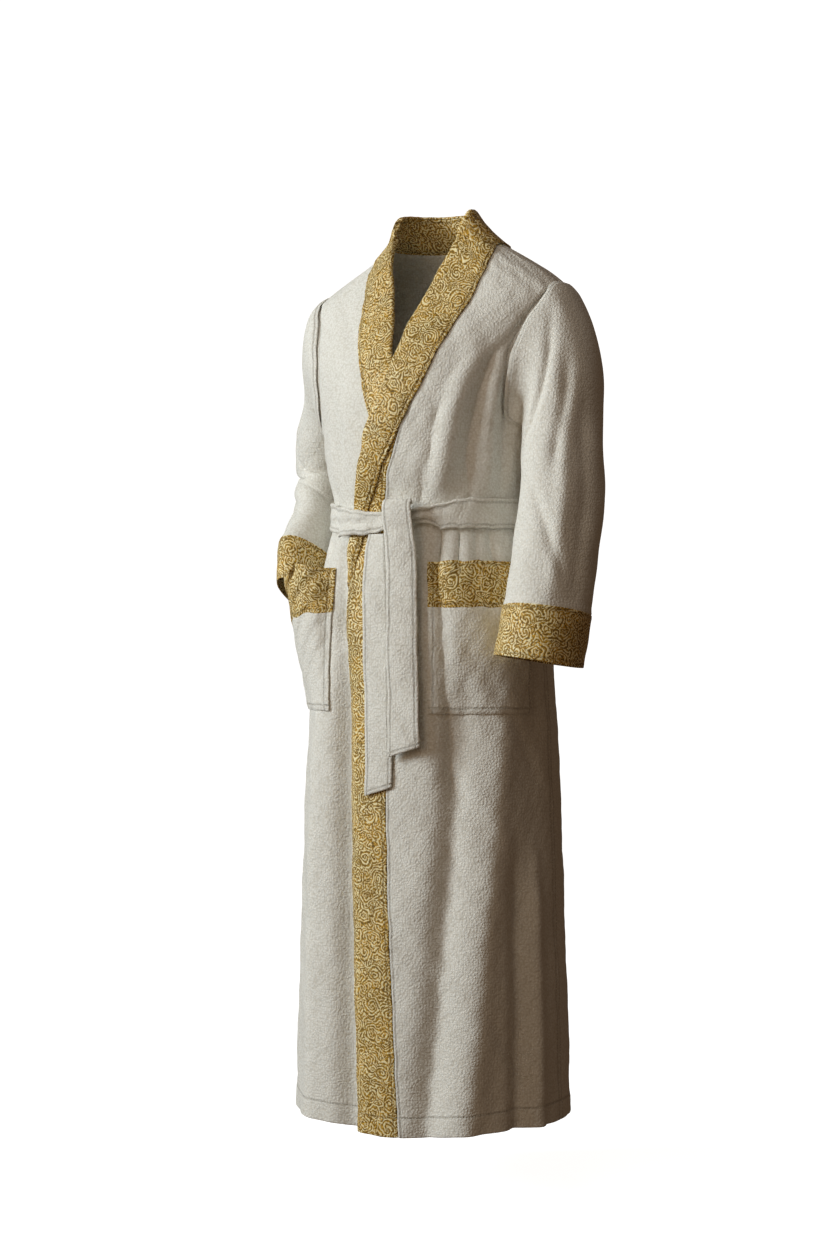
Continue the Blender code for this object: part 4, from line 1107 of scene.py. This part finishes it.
def make_band(name, node, leading, collar, sign, rise, brocade):
    """The front band, hem to the neck, and on round the neck to the centre back as a stand."""
    heights = cloth_heights(FRONT_TOP)
    heights = heights[heights < BAND_TOP]
    lead_turn = lead(leading, "lead_turn", heights)
    inner_turn = lead(leading, "seam_turn", heights) + sign * seam_turn(heights)
    roll = column(collar, COLLAR_COLUMNS, "roll_height")
    turns = column(collar, COLLAR_COLUMNS, "roll_turn")
    keep = roll > BAND_TOP
    stand_roll, stand_turn = roll[keep], turns[keep]
    side = 0.0 if sign > 0 else 180.0
    reach = np.linspace(0, 1, len(stand_roll))
    foot_share = np.clip((reach - STAND_START) / (1 - STAND_START), 0, 1)
    foot_turn = side + (stand_turn[-1] - side) * foot_share
    foot_turn[reach < STAND_START] = side + sign * 4.0
    rows = []
    for body, stand in (
        (heights, np.full(len(stand_roll), STAND_FOOT)),
        (heights, stand_roll),
        (inner_turn, foot_turn),
        (lead_turn, stand_turn),
    ):
        fine = resample(np.concatenate([body[-1:], stand]), 7)
        rows.append(np.concatenate([body, fine[1:]]))
    low, high, start, end = rows
    share = np.linspace(0, 1, BAND_COLUMNS)
    turn = start[:, None] + (end - start)[:, None] * share
    level = low[:, None] + (high - low)[:, None] * share
    height = hang(turn, level)
    lift = rise(turn, height)
    thick = CLOTH + hem_fold(level)
    inner, outer = place(turn, height, lift), place(turn, height, lift + thick)
    sew(name, node, inner, outer, brocade, "gold_brocade",
        lines=(("start", TRIM_MARGIN), ("end", TRIM_MARGIN), ("first", HEM_DEPTH)))


def make_collar(name, node, rows, rise, brocade):
    """The shawl collar: cloth that rolls over its edge and lies back down to its free edge."""
    def along(column_name):
        return resample(column(rows, COLLAR_COLUMNS, column_name), 9)[:, None]

    def across(column_name):
        return resample(column(COLLAR_FOLD, FOLD_COLUMNS, column_name), (5, 4, 3, 5, 5, 5))[None, :]

    roll_height, roll_turn = along("roll_height"), along("roll_turn")
    free_height, free_turn = along("free_height"), along("free_turn")
    width = np.linalg.norm(form(roll_turn, roll_height) - form(free_turn, free_height), axis=-1)
    share = across("share")
    crown = COLLAR_CROWN * np.sin(np.pi * np.clip(share, 0, 1) ** 0.6) * ease(0.02, 0.06, width)
    flat = 0.35 + 0.65 * ease(-0.55, -0.48, roll_height)
    turns = column(rows, COLLAR_COLUMNS, "roll_turn")
    grids = []
    for past_name, rise_name in (("past_edge", "inner_rise"), ("outer_past", "outer_rise")):
        way = share - across(past_name) / width
        turn = roll_turn + (free_turn - roll_turn) * way
        height = roll_height + (free_height - roll_height) * way
        under = rise(np.clip(turn, *sorted((turns.min(), turns.max() + 60))), height)
        grids.append(place(turn, height, under + across(rise_name) * flat + crown))
    sew(name, node, grids[0], grids[1], brocade, "gold_brocade", lines=(("end", TRIM_MARGIN),))


def clear_of_body(points, gap, blend, mirror):
    """Points moved out from the upright axis until they lie about a gap outside the body."""
    height = points[..., 2]
    half, front, back, middle, side = section(height)
    side = mirror * side
    x, y = points[..., 0] - side, points[..., 1] - middle
    turn = np.degrees(np.arctan2(-y / np.where(y < 0, front, back), x / half))
    edge = form(turn if mirror > 0 else 180 - turn, height)
    far = np.hypot(mirror * edge[..., 0] - side, edge[..., 1] - middle) + gap
    own = np.hypot(x, y)
    short = far - own
    grow = 1 + 0.5 * (short + np.sqrt(short * short + blend * blend)) / own
    return np.stack([side + x * grow, middle + y * grow, height], -1)


def armhole_ring(angle):
    """The sleeve's seam line: it laps a little over the panels round the armhole."""
    c, s = np.cos(angle), np.sin(angle)
    height = ARM_MIDDLE + (ARM_HALF_HEIGHT + ARM_LAP) * c
    widest = np.where(s > 0, ARM_TURN_FRONT + 3.0, ARM_TURN_BACK + 3.0)
    return np.sign(s) * widest * np.sqrt(np.abs(s)), height


def sleeve_grid(rows, creases, mirror):
    """Rings of a left sleeve's inner face, armhole to wrist, and the ring numbers they stand at."""
    angle = np.linspace(0, 2 * np.pi, SLEEVE_STEPS, endpoint=False)
    turn, height = armhole_ring(angle)
    at = np.concatenate([np.linspace(0, 1, 11), np.linspace(1, WRIST_RING, 111)[1:]])
    first = list(rows[0])
    first[RING_COLUMNS.index("armhole")] = 1.0
    table = (tuple(first),) + tuple(rows)
    read = {name: read_rows(column(table, RING_COLUMNS, name), at)[:, None] for name in RING_COLUMNS}
    rise = SEAM_RISE + (ARM_RISE - SEAM_RISE) * ease(0.0, 0.35, at)[:, None]
    start = place(turn if mirror > 0 else 180 - turn, height, rise + 0 * turn) * np.array([mirror, 1.0, 1.0])
    tilt, slope = np.radians(read["tilt"]), np.radians(read["slope"])
    c, s = np.cos(angle)[None, :], np.sin(angle)[None, :]
    ring = np.stack([
        read["x"] + c * read["out"] * np.cos(tilt),
        read["y"] - s * read["fore"] * np.cos(slope),
        read["height"] + c * read["out"] * np.sin(tilt) + s * read["fore"] * np.sin(slope),
    ], -1)
    keep = np.clip(read["armhole"], 0, 1)[..., None]
    grid = keep * start + (1 - keep) * ring
    outward = unit(grid - grid.mean(axis=1, keepdims=True))
    angle_deg = np.degrees(angle)[None, :]
    depth_of = 0.0 * read["x"] * c
    for from_ring, from_turn, to_ring, to_turn, depth, half in creases:
        along = (at[:, None] - from_ring) / (to_ring - from_ring)
        centre = from_turn + (to_turn - from_turn) * np.clip(along, 0, 1)
        off = (angle_deg - centre + 180) % 360 - 180
        off = np.radians(off) * 0.07 / half
        fade = ease(-0.15, 0.25, along) * ease(-0.15, 0.25, 1 - along)
        depth_of = depth_of + depth * fade * np.exp(-off * off)
    for size, around, down, phase in SLEEVE_RIPPLES:
        wave = np.sin(around * np.radians(angle_deg) + 2 * np.pi * down * at[:, None] / WRIST_RING + phase)
        depth_of = depth_of + size * wave * ease(0.5, 2.0, at)[:, None]
    grid = grid + depth_of[..., None] * outward
    cloth_gap = 2 * CLOTH + 2 * LAYER_GAP
    cuff_gap = 3 * CLOTH + 4 * LAYER_GAP
    gaps = (0.0022, 0.005, cloth_gap, cloth_gap, cuff_gap, cuff_gap)
    gap = np.interp(at, (0, 0.35, 1, CUFF_RING - 1, CUFF_RING, WRIST_RING), gaps)
    blend = np.interp(at, (0, 0.35, 1.5), (0.0001, 0.001, 0.004))
    return clear_of_body(grid, gap[:, None], blend[:, None], mirror), at


def make_sleeve(side, rows, creases, mirror, wool, brocade):
    """A sleeve and its cuff. Both are shaped as left ones, and mirror turns them over for the right."""
    grid, at = sleeve_grid(rows, creases, mirror)
    out = ring_normals(grid)
    if ((grid - grid.mean(axis=1, keepdims=True)) * out).sum() < 0:
        out = -out
    flip = np.array([mirror, 1.0, 1.0])
    turn, height = armhole_ring(np.linspace(0, 2 * np.pi, SLEEVE_STEPS, endpoint=False))
    seam_out = normal(turn if mirror > 0 else 180 - turn, height) * flip
    share = ease(0.0, 0.5, at)[:, None, None]
    out = unit(share * out + (1 - share) * seam_out)
    puff = CUFF_PUFF * np.exp(-((at - CUFF_PUFF_RING) / CUFF_PUFF_REACH) ** 2)[:, None, None]
    cloth = at < CUFF_RING + 0.001
    inner = (grid + puff * out)[cloth]
    sew("sleeve_" + side + "_cloth", "sleeve_" + side, inner * flip, (inner + CLOTH * out[cloth]) * flip,
        wool, "cream_wool", ring=True, lines=(("first", TRIM_MARGIN),))
    cuff = at > CUFF_START
    inner = grid[cuff] + (CLOTH + CUFF_STAND) * out[cuff]
    sew("cuff_" + side + "_brocade", "cuff_" + side, inner * flip, (inner + CLOTH * out[cuff]) * flip,
        brocade, "gold_brocade", ring=True, lines=(("first", TRIM_MARGIN), ("last", TRIM_MARGIN)))


def left_mouth(share):
    """The height of the left pocket's mouth, a share of the way across."""
    return -0.5125 + 0.0 * share


def right_mouth(share):
    """The right pocket's mouth sags towards the gown's right."""
    return -0.519 - 0.016 * share - 0.036 * share ** 2


def left_bulge(share, down):
    """How far the left pocket stands open, most at its mouth."""
    return 0.007 * np.sin(np.pi * share) * (1 - down) ** 2


def right_bulge(share, down):
    """The right pocket stands wide open."""
    across = np.sin(np.pi * share ** 1.1) ** 0.7
    return 0.058 * across * (1 - down) ** 1.2


def make_pocket(side, turns_top, turns_low, mouth, bulge, rise, wool, brocade):
    """A patch pocket: its brocade band at the mouth, then its wool, sewn down at the sides and foot."""
    edge_share = 0.5 - 0.5 * np.cos(np.linspace(0, np.pi, POCKET_COLUMNS))
    share = 0.35 * edge_share + 0.65 * np.linspace(0, 1, POCKET_COLUMNS)
    top = mouth(share)
    low = top - POCKET_HEIGHT if side == "left" else np.full(len(share), RIGHT_POCKET_FOOT)
    width = 0.19 if side == "left" else 0.16
    band, patch = "pocket_band_" + side, "pocket_" + side
    foot = POCKET_BAND + SEAM_VALLEY / 2
    for piece, node, start, end, rows, surface, slot in (
        (band + "_brocade", band, 0.0, POCKET_BAND, 20, brocade, "gold_brocade"),
        (patch + "_cloth", patch, foot, None, 44, wool, "cream_wool"),
    ):
        if end is None:
            end = top - low
        down = start + (end - start) * np.linspace(0, 1, rows)[:, None]
        height = top - down
        down_share = (top - height) / (top - low)
        first = turns_top[0] + (turns_low[0] - turns_top[0]) * down_share
        last = turns_top[1] + (turns_low[1] - turns_top[1]) * down_share
        turn = first + (last - first) * share
        to_side = np.minimum(share, 1 - share)[None, :] * width
        to_foot = (top - low) * (1 - down_share)
        sewn = ease(0.0, 0.007, np.minimum(to_side, to_foot))
        open_mouth = bulge(share, down_share) * ease(0.0, 0.02, to_side)
        stand = rise(turn, height) + CLOTH + 0.0004 + 0.0014 * sewn + open_mouth
        thick = CLOTH + (0.0006 if surface is brocade else 0.0)
        lines = [("start", POCKET_MARGIN), ("end", POCKET_MARGIN)]
        if surface is brocade:
            lines += [("first", TRIM_MARGIN), ("last", TRIM_MARGIN)]
        else:
            lines += [("last", POCKET_MARGIN)]
        inner, outer = place(turn, height, stand), place(turn, height, stand + thick)
        sew(piece, node, inner, outer, surface, slot, lines=lines)


def make_belt(wool):
    """The belt's turn round the waist, folded double and gathered towards the knot."""
    turn = np.concatenate([np.linspace(-180, 20, 120)[:-1], np.linspace(20, 180, 170)[:-1]])[None, :]
    top = soft(BELT, BELT_COLUMNS, "turn", "top", turn)
    low = soft(BELT, BELT_COLUMNS, "turn", "bottom", turn)
    rise = soft(BELT, BELT_COLUMNS, "turn", "rise", turn)
    share = np.linspace(0, 1, 17)[:, None]
    height = low + (top - low) * share
    left_pinch = ease(52.0, 74.0, turn) * ease(92.0, 78.0, turn)
    right_pinch = ease(156.0, 128.0, turn) * ease(98.0, 110.0, turn)
    pinch = np.maximum(left_pinch, right_pinch)
    folds = BELT_FOLD * pinch * (0.5 - 0.5 * np.cos(2 * np.pi * (1.6 * share + 0.012 * turn)))
    crown = 0.0006 * np.sin(np.pi * share)
    level = rise + folds + crown
    inner = place(turn, height, rise + folds * 0.6)
    outer = place(turn, height, level + BELT_THICKNESS)
    sew("belt_cloth", "belt", inner, outer, wool, "cream_wool", ring=True,
        lines=(("first", TRIM_MARGIN), ("last", TRIM_MARGIN)))


def turn_at(x, height):
    """The turn at the front where the form has a given x."""
    turns = np.linspace(150, 30, 241)
    found = [np.interp(a, form(turns, b)[:, 0], turns) for a, b in zip(x.ravel(), height.ravel())]
    return np.array(found).reshape(x.shape)


def make_tail(name, node, rows, sway, wool):
    """A hanging end of the belt, folded double along its length."""
    def down(column_name):
        return resample(column(rows, TAIL_COLUMNS, column_name), 7)[:, None]

    height, first, last, rise, drop = (down(c) for c in ("height", "inner_x", "outer_x", "rise", "drop"))
    share = np.linspace(0, 1, 13)[None, :]
    x = first + (last - first) * share
    height = height - drop * (1 - share)
    flat = np.minimum(height, -0.46)
    turn = turn_at(x, flat)
    base = place(turn, height, 0.0 * x)
    base[..., 1] = place(turn, flat, 0.0 * x)[..., 1]
    hanging = ease(-0.50, -0.60, height)
    wave = sway * hanging * np.sin(2 * np.pi * (height + 0.5) / 0.21)
    twist = 0.0016 * hanging * (share - 0.5) * 2 * np.sin(2 * np.pi * (height + 0.5) / 0.33)
    line = base + (rise + np.abs(wave) + twist)[..., None] * np.array([0.0, -1.0, 0.0])
    out = unit(np.cross(np.gradient(line, axis=0), np.gradient(line, axis=1)))
    if out[-1, 0, 1] > 0:
        out = -out
    crown = 0.0007 * np.sin(np.pi * share)[..., None]
    sew(name, node, line, line + (BELT_THICKNESS + crown) * out, wool, "cream_wool",
        lines=(("start", TRIM_MARGIN), ("end", TRIM_MARGIN), ("last", TRIM_MARGIN)))


def make_knot(wool):
    """The knot: a turn of the belt drawn tight round itself, gathered in at both of its ends."""
    across = np.linspace(-1, 1, 25)[:, None]
    angle = np.linspace(0, 2 * np.pi, 56, endpoint=False)[None, :]
    barrel = np.clip(1 - np.abs(across) ** 2.6, 0, 1) ** 0.5 * 0.78 + 0.22
    fold = 1 + 0.06 * np.sin(3 * angle + 2.4 * across) * barrel
    middle = place(turn_at(np.array([KNOT_X]), np.array([KNOT_HEIGHT])), KNOT_HEIGHT, 0.0)[0]
    x = KNOT_X + KNOT_HALF_LENGTH * across + 0 * angle
    y = middle[1] - 0.0237 + 0.0088 * barrel * fold * np.cos(angle)
    z = KNOT_HEIGHT + KNOT_HALF_HEIGHT * barrel * fold * np.sin(angle)
    inner = np.stack([x, y, z], -1)
    centre = inner.mean(axis=1, keepdims=True)
    outer = inner + CLOTH * unit(inner - centre)
    sew("knot_cloth", "belt_knot", inner, outer, wool, "cream_wool", ring=True)


def make_loop(side, middle, wool):
    """A belt loop, sewn above and below the belt."""
    heights = resample(LOOP_HEIGHTS, 4)[:, None]
    rise = resample(LOOP_RISE, 4)[:, None]
    turn = middle + np.linspace(-LOOP_HALF_TURN, LOOP_HALF_TURN, 7)[None, :]
    inner = place(turn, heights, rise + 0 * turn)
    outer = place(turn, heights, rise + CLOTH + 0 * turn)
    sew("loop_" + side + "_cloth", "belt_loop_" + side, inner, outer, wool, "cream_wool")


def make_stitch(sizes):
    """One stitch, lying along X: a short thread that dives into the cloth at both ends."""
    bpy.ops.object.select_all(action="DESELECT")
    bpy.ops.mesh.primitive_uv_sphere_add(segments=6, ring_count=4, radius=0.5)
    made = bpy.context.object
    made.scale = (sizes.stitch_length, sizes.stitch_width, sizes.stitch_width)
    bpy.ops.object.transform_apply(location=True, rotation=True, scale=True)
    return made


def lay_stitches(name, cloth_key, sizes, surface):
    """All stitches of one thread as one mesh, laid a pitch apart along their runs."""
    template = make_stitch(sizes)
    shape = np.array([v.co[:] for v in template.data.vertices])
    polygons = [list(p.vertices) for p in template.data.polygons]
    bpy.data.objects.remove(template)
    points, faces = [], []
    for path, ways in STITCH_RUNS[cloth_key]:
        along = np.concatenate([[0.0], np.cumsum(np.linalg.norm(np.diff(path, axis=0), axis=-1))])
        if along[-1] < 2 * sizes.stitch_pitch:
            continue
        at = np.arange(sizes.stitch_pitch, along[-1] - sizes.stitch_pitch / 2, sizes.stitch_pitch)
        here, ahead, back, up = (
            np.stack([np.interp(places, along, values[:, k]) for k in range(3)], -1)
            for places, values in ((at, path), (at + 0.001, path), (at - 0.001, path), (at, ways))
        )
        run = unit(ahead - back)
        side = unit(np.cross(up, run))
        axes = (run, side, np.cross(run, side))
        laid = here[:, None] + sum(shape[None, :, k:k + 1] * axis[:, None] for k, axis in enumerate(axes))
        for one in laid:
            start = len(points) * len(shape)
            points.append(one)
            faces += [[start + k for k in polygon] for polygon in polygons]
    mesh = bpy.data.meshes.new(name)
    mesh.from_pydata(np.concatenate(points).tolist(), [], faces)
    mesh.materials.append(surface)
    mesh.update()
    mesh.shade_smooth()
    made = bpy.data.objects.new(name, mesh)
    bpy.context.scene.collection.objects.link(made)
    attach(made, "root")


def finish_of(name, make):
    """A material by its name, made the first time it is asked for."""
    found = bpy.data.materials.get(name)
    return found or make(bpy.context.scene.gown)


def wool_cloth():
    """The cream crepe wool."""
    return finish_of("crepe_wool", crepe_wool)


def brocade_cloth():
    """The gold brocade."""
    return finish_of("woven_brocade", woven_brocade)


def length_of(name, description, default, least):
    """A length that a user can change."""
    return FloatProperty(
        name=name, description=description, default=default, min=least, unit="LENGTH"
    )


def power_of(name, description, default):
    """A lamp's power that a user can change."""
    return FloatProperty(
        name=name, description=description, default=default, min=0.0, unit="POWER"
    )


def colour_of(name, description, default):
    """A colour that a user can change."""
    return FloatVectorProperty(
        name=name, description=description, subtype="COLOR", default=default, min=0.0, max=1.0
    )


class GownSizes(bpy.types.PropertyGroup):
    """The sizes, colours and lamps that a user would change"""

    nap_size: length_of("Nap size", "Width of one tuft of the wool's nap", 0.0038, 0.0005)
    motif_size: length_of(
        "Motif size", "Width of one scroll or rosette of the brocade", 0.030, 0.005
    )
    thread_size: length_of("Thread size", "Width of the brocade's coarse threads", 0.0024, 0.0005)
    stitch_pitch: length_of("Stitch pitch", "From one stitch to the next", 0.0045, 0.002)
    stitch_length: length_of("Stitch length", "Length of the thread that shows", 0.0034, 0.001)
    stitch_width: length_of("Stitch width", "Width of the sewing thread", 0.0009, 0.0003)
    wool_light: colour_of("Wool", "The tips of the nap", linear("F0F0EA")[:3])
    # The dimmer colour between the tufts is painted shade in the nap's hollows.
    wool_hollow_painted_shade: colour_of(
        "Wool between tufts", "The ground between the tufts", linear("D6D3C8")[:3]
    )
    gold_ground: colour_of("Brocade ground", "The mustard ground", linear("D2A22C")[:3])
    gold_deep: colour_of("Brocade deep ground", "The ochre ground", linear("B08A26")[:3])
    # The pale thread colour also paints the glints of single thread cells.
    pale_thread: colour_of("Pale thread", "The silky raised thread", linear("F8EAB8")[:3])
    bronze_thread: colour_of("Bronze thread", "The dark outline thread", linear("74591C")[:3])
    key_power: power_of("Key light", "Power of the soft light from the gown's right", 156.0)
    warm_power: power_of("Warm light", "Power of the weak warm light from the front", 26.0)
    top_power: power_of("Top light", "Power of the small soft light above the chest", 3.5)
    fill_colour: colour_of(
        "Fill light", "The weak warm light from all round", (0.080, 0.052, 0.033)
    )


class GOWN_OT_body(bpy.types.Operator):
    """Lay out the back and both fronts as sheets of crepe wool"""

    bl_idname = "gown.body"
    bl_label = "Back and fronts"

    def execute(self, context):
        wool = wool_cloth()
        make_back(wool)
        make_fronts(wool)
        return {"FINISHED"}


class GOWN_OT_bands(bpy.types.Operator):
    """Lay out the two brocade front bands with their neck stands"""

    bl_idname = "gown.bands"
    bl_label = "Front bands"

    def execute(self, context):
        brocade = brocade_cloth()
        make_band("band_left_brocade", "band_left", LEFT_LEAD, LEFT_COLLAR, 1.0, wrap_lift, brocade)
        make_band("band_right_brocade", "band_right", RIGHT_LEAD, RIGHT_COLLAR, -1.0, flat_rise, brocade)
        return {"FINISHED"}


class GOWN_OT_collars(bpy.types.Operator):
    """Fold both halves of the shawl collar over the bands"""

    bl_idname = "gown.collars"
    bl_label = "Shawl collar"

    def execute(self, context):
        brocade = brocade_cloth()
        make_collar("collar_left_brocade", "collar_left", LEFT_COLLAR, wrap_lift, brocade)
        make_collar("collar_right_brocade", "collar_right", RIGHT_COLLAR, flat_rise, brocade)
        return {"FINISHED"}


class GOWN_OT_sleeves(bpy.types.Operator):
    """Hang both sleeves with their brocade cuffs"""

    bl_idname = "gown.sleeves"
    bl_label = "Sleeves and cuffs"

    def execute(self, context):
        wool, brocade = wool_cloth(), brocade_cloth()
        make_sleeve("left", LEFT_SLEEVE, LEFT_CREASES, 1.0, wool, brocade)
        make_sleeve("right", RIGHT_SLEEVE, RIGHT_CREASES, -1.0, wool, brocade)
        return {"FINISHED"}


class GOWN_OT_pockets(bpy.types.Operator):
    """Sew on both patch pockets with their brocade bands"""

    bl_idname = "gown.pockets"
    bl_label = "Patch pockets"

    def execute(self, context):
        wool, brocade = wool_cloth(), brocade_cloth()
        for side, top, foot, mouth, bulge, rise in (
            ("left", (69.5, 14.0), (69.5, 16.0), left_mouth, left_bulge, wrap_lift),
            ("right", (127.5, 167.0), (122.5, 166.0), right_mouth, right_bulge, flat_rise),
        ):
            make_pocket(side, top, foot, mouth, bulge, rise, wool, brocade)
        return {"FINISHED"}


class GOWN_OT_belt(bpy.types.Operator):
    """Tie the belt: its turn round the waist, its knot, its two hanging ends and its loops"""

    bl_idname = "gown.belt"
    bl_label = "Belt"

    def execute(self, context):
        wool = wool_cloth()
        make_belt(wool)
        make_knot(wool)
        make_tail("tail_front_cloth", "belt_tail_front", FRONT_TAIL, 0.0016, wool)
        make_tail("tail_back_cloth", "belt_tail_back", BACK_TAIL, 0.0010, wool)
        make_loop("left", 8.0, wool)
        make_loop("right", 172.0, wool)
        return {"FINISHED"}


class GOWN_OT_stitching(bpy.types.Operator):
    """Run the topstitching along the seams, the hem and every trimmed edge"""

    bl_idname = "gown.stitching"
    bl_label = "Topstitching"

    def execute(self, context):
        sizes = context.scene.gown
        for cloth_key, name, colour in (
            ("cream_wool", "topstitching_cream", "E6E0D0"),
            ("gold_brocade", "topstitching_gold", "C9A55A"),
        ):
            surface = sewing_thread("sewing_thread_" + name.split("_")[1], linear(colour))
            lay_stitches(name, cloth_key, sizes, surface)
        return {"FINISHED"}


class GOWN_OT_stage(bpy.types.Operator):
    """Set out the pale studio floor, the soft light and the camera"""

    bl_idname = "gown.stage"
    bl_label = "Stage, light and camera"

    def execute(self, context):
        make_stage()
        make_light(context.scene.gown)
        make_camera()
        return {"FINISHED"}


def make_stage():
    """A round floor that sweeps up into a wall, so that every view has the same pale ground."""
    bpy.ops.object.select_all(action="DESELECT")
    top = STAGE_FLOOR + STAGE_TALL
    bpy.ops.mesh.primitive_circle_add(
        vertices=96, radius=STAGE_WALL, fill_type="NOTHING", location=(0, 0, top)
    )
    made = bpy.context.object
    made.name = "studio_floor"
    bpy.ops.object.transform_apply(location=True, rotation=True, scale=True)
    bpy.ops.object.mode_set(mode="EDIT")
    bpy.ops.mesh.select_all(action="SELECT")
    sweep = STAGE_WALL - STAGE_FLAT
    rings = []
    for k in range(9):
        bend = math.pi / 2 * k / 8
        rings.append((STAGE_FLAT + sweep * math.cos(bend), STAGE_FLOOR + sweep * (1 - math.sin(bend))))
    radius, height = STAGE_WALL, top
    for next_radius, next_height in rings:
        bpy.ops.mesh.extrude_edges_move(TRANSFORM_OT_translate={"value": (0, 0, 0)})
        bpy.ops.transform.translate(value=(0, 0, next_height - height))
        grow = next_radius / radius
        bpy.ops.transform.resize(value=(grow, grow, 1), center_override=(0, 0, 0))
        radius, height = next_radius, next_height
    bpy.ops.mesh.edge_face_add()
    bpy.ops.mesh.select_all(action="SELECT")
    bpy.ops.mesh.normals_make_consistent(inside=True)
    bpy.ops.object.mode_set(mode="OBJECT")
    bpy.ops.object.shade_smooth()
    # Seamless white studio paper, lit evenly from behind the gown: to the eye a flat, matt near-white.
    surface, _, shader = new_material("studio_paper")
    set_inputs(shader, {
        "Base Color": linear("F4F3F1"),
        "Roughness": 0.9,
        "Emission Color": linear("FFFFFF"),
        "Emission Strength": 0.95,
    })
    made.data.materials.append(surface)
    made.visible_diffuse = False
    made.visible_glossy = False
    made.visible_shadow = False


def make_light(sizes):
    """A large soft lamp on the gown's right, a weak warm one in front, a small one above the chest, and
    a weak warm glow from all round."""
    scene = bpy.context.scene
    for name, place_at, aim, width, tall, power, colour in LAMPS:
        lamp = bpy.data.lights.new(name, "AREA")
        lamp.shape = "RECTANGLE"
        lamp.size, lamp.size_y = width, tall
        lamp.energy = getattr(sizes, power)
        lamp.color = colour
        made = bpy.data.objects.new(name, lamp)
        made.location = place_at
        made.rotation_euler = (Vector(aim) - Vector(place_at)).to_track_quat("-Z", "Y").to_euler()
        made.visible_camera = False
        scene.collection.objects.link(made)
    world = bpy.data.worlds.new("studio_fill")
    scene.world = world
    world.use_nodes = True
    glow = world.node_tree.nodes["Background"]
    glow.inputs["Color"].default_value = (*sizes.fill_colour, 1.0)
    glow.inputs["Strength"].default_value = 1.0
    scene.view_settings.view_transform = "Standard"


def make_camera():
    """The camera stands at hip height, turned towards the gown's left from its front."""
    turn = math.radians(CAMERA_TURN)
    lens = bpy.data.cameras.new("studio_camera")
    lens.lens = CAMERA_LENS
    lens.shift_x = CAMERA_SHIFT
    made = bpy.data.objects.new("studio_camera", lens)
    made.location = (CAMERA_AWAY * math.sin(turn), -CAMERA_AWAY * math.cos(turn), CAMERA_HEIGHT)
    made.rotation_euler = (math.pi / 2, 0.0, turn)
    bpy.context.scene.collection.objects.link(made)
    bpy.context.scene.camera = made


OPERATORS = (
    GOWN_OT_body,
    GOWN_OT_bands,
    GOWN_OT_collars,
    GOWN_OT_sleeves,
    GOWN_OT_pockets,
    GOWN_OT_belt,
    GOWN_OT_stitching,
    GOWN_OT_stage,
)


class GOWN_PT_panel(bpy.types.Panel):
    """Lists the gown's sizes, colours and steps"""

    bl_idname = "GOWN_PT_panel"
    bl_label = "Dressing gown"
    bl_space_type = "VIEW_3D"
    bl_region_type = "UI"
    bl_category = "Gown"

    def draw(self, context):
        sizes = context.scene.gown
        for name in GownSizes.__annotations__:
            self.layout.prop(sizes, name)
        for operator in OPERATORS:
            self.layout.operator(operator.bl_idname)


CLASSES = (GownSizes, *OPERATORS, GOWN_PT_panel)


def register():
    for made in CLASSES:
        bpy.utils.register_class(made)
    bpy.types.Scene.gown = PointerProperty(type=GownSizes)


def unregister():
    del bpy.types.Scene.gown
    for made in reversed(CLASSES):
        bpy.utils.unregister_class(made)


def main():
    """Builds the gown and its stage in order."""
    register()
    bpy.ops.gown.body()
    bpy.ops.gown.bands()
    bpy.ops.gown.collars()
    bpy.ops.gown.sleeves()
    bpy.ops.gown.pockets()
    bpy.ops.gown.belt()
    bpy.ops.gown.stitching()
    bpy.ops.gown.stage()


if __name__ == "__main__":
    main()
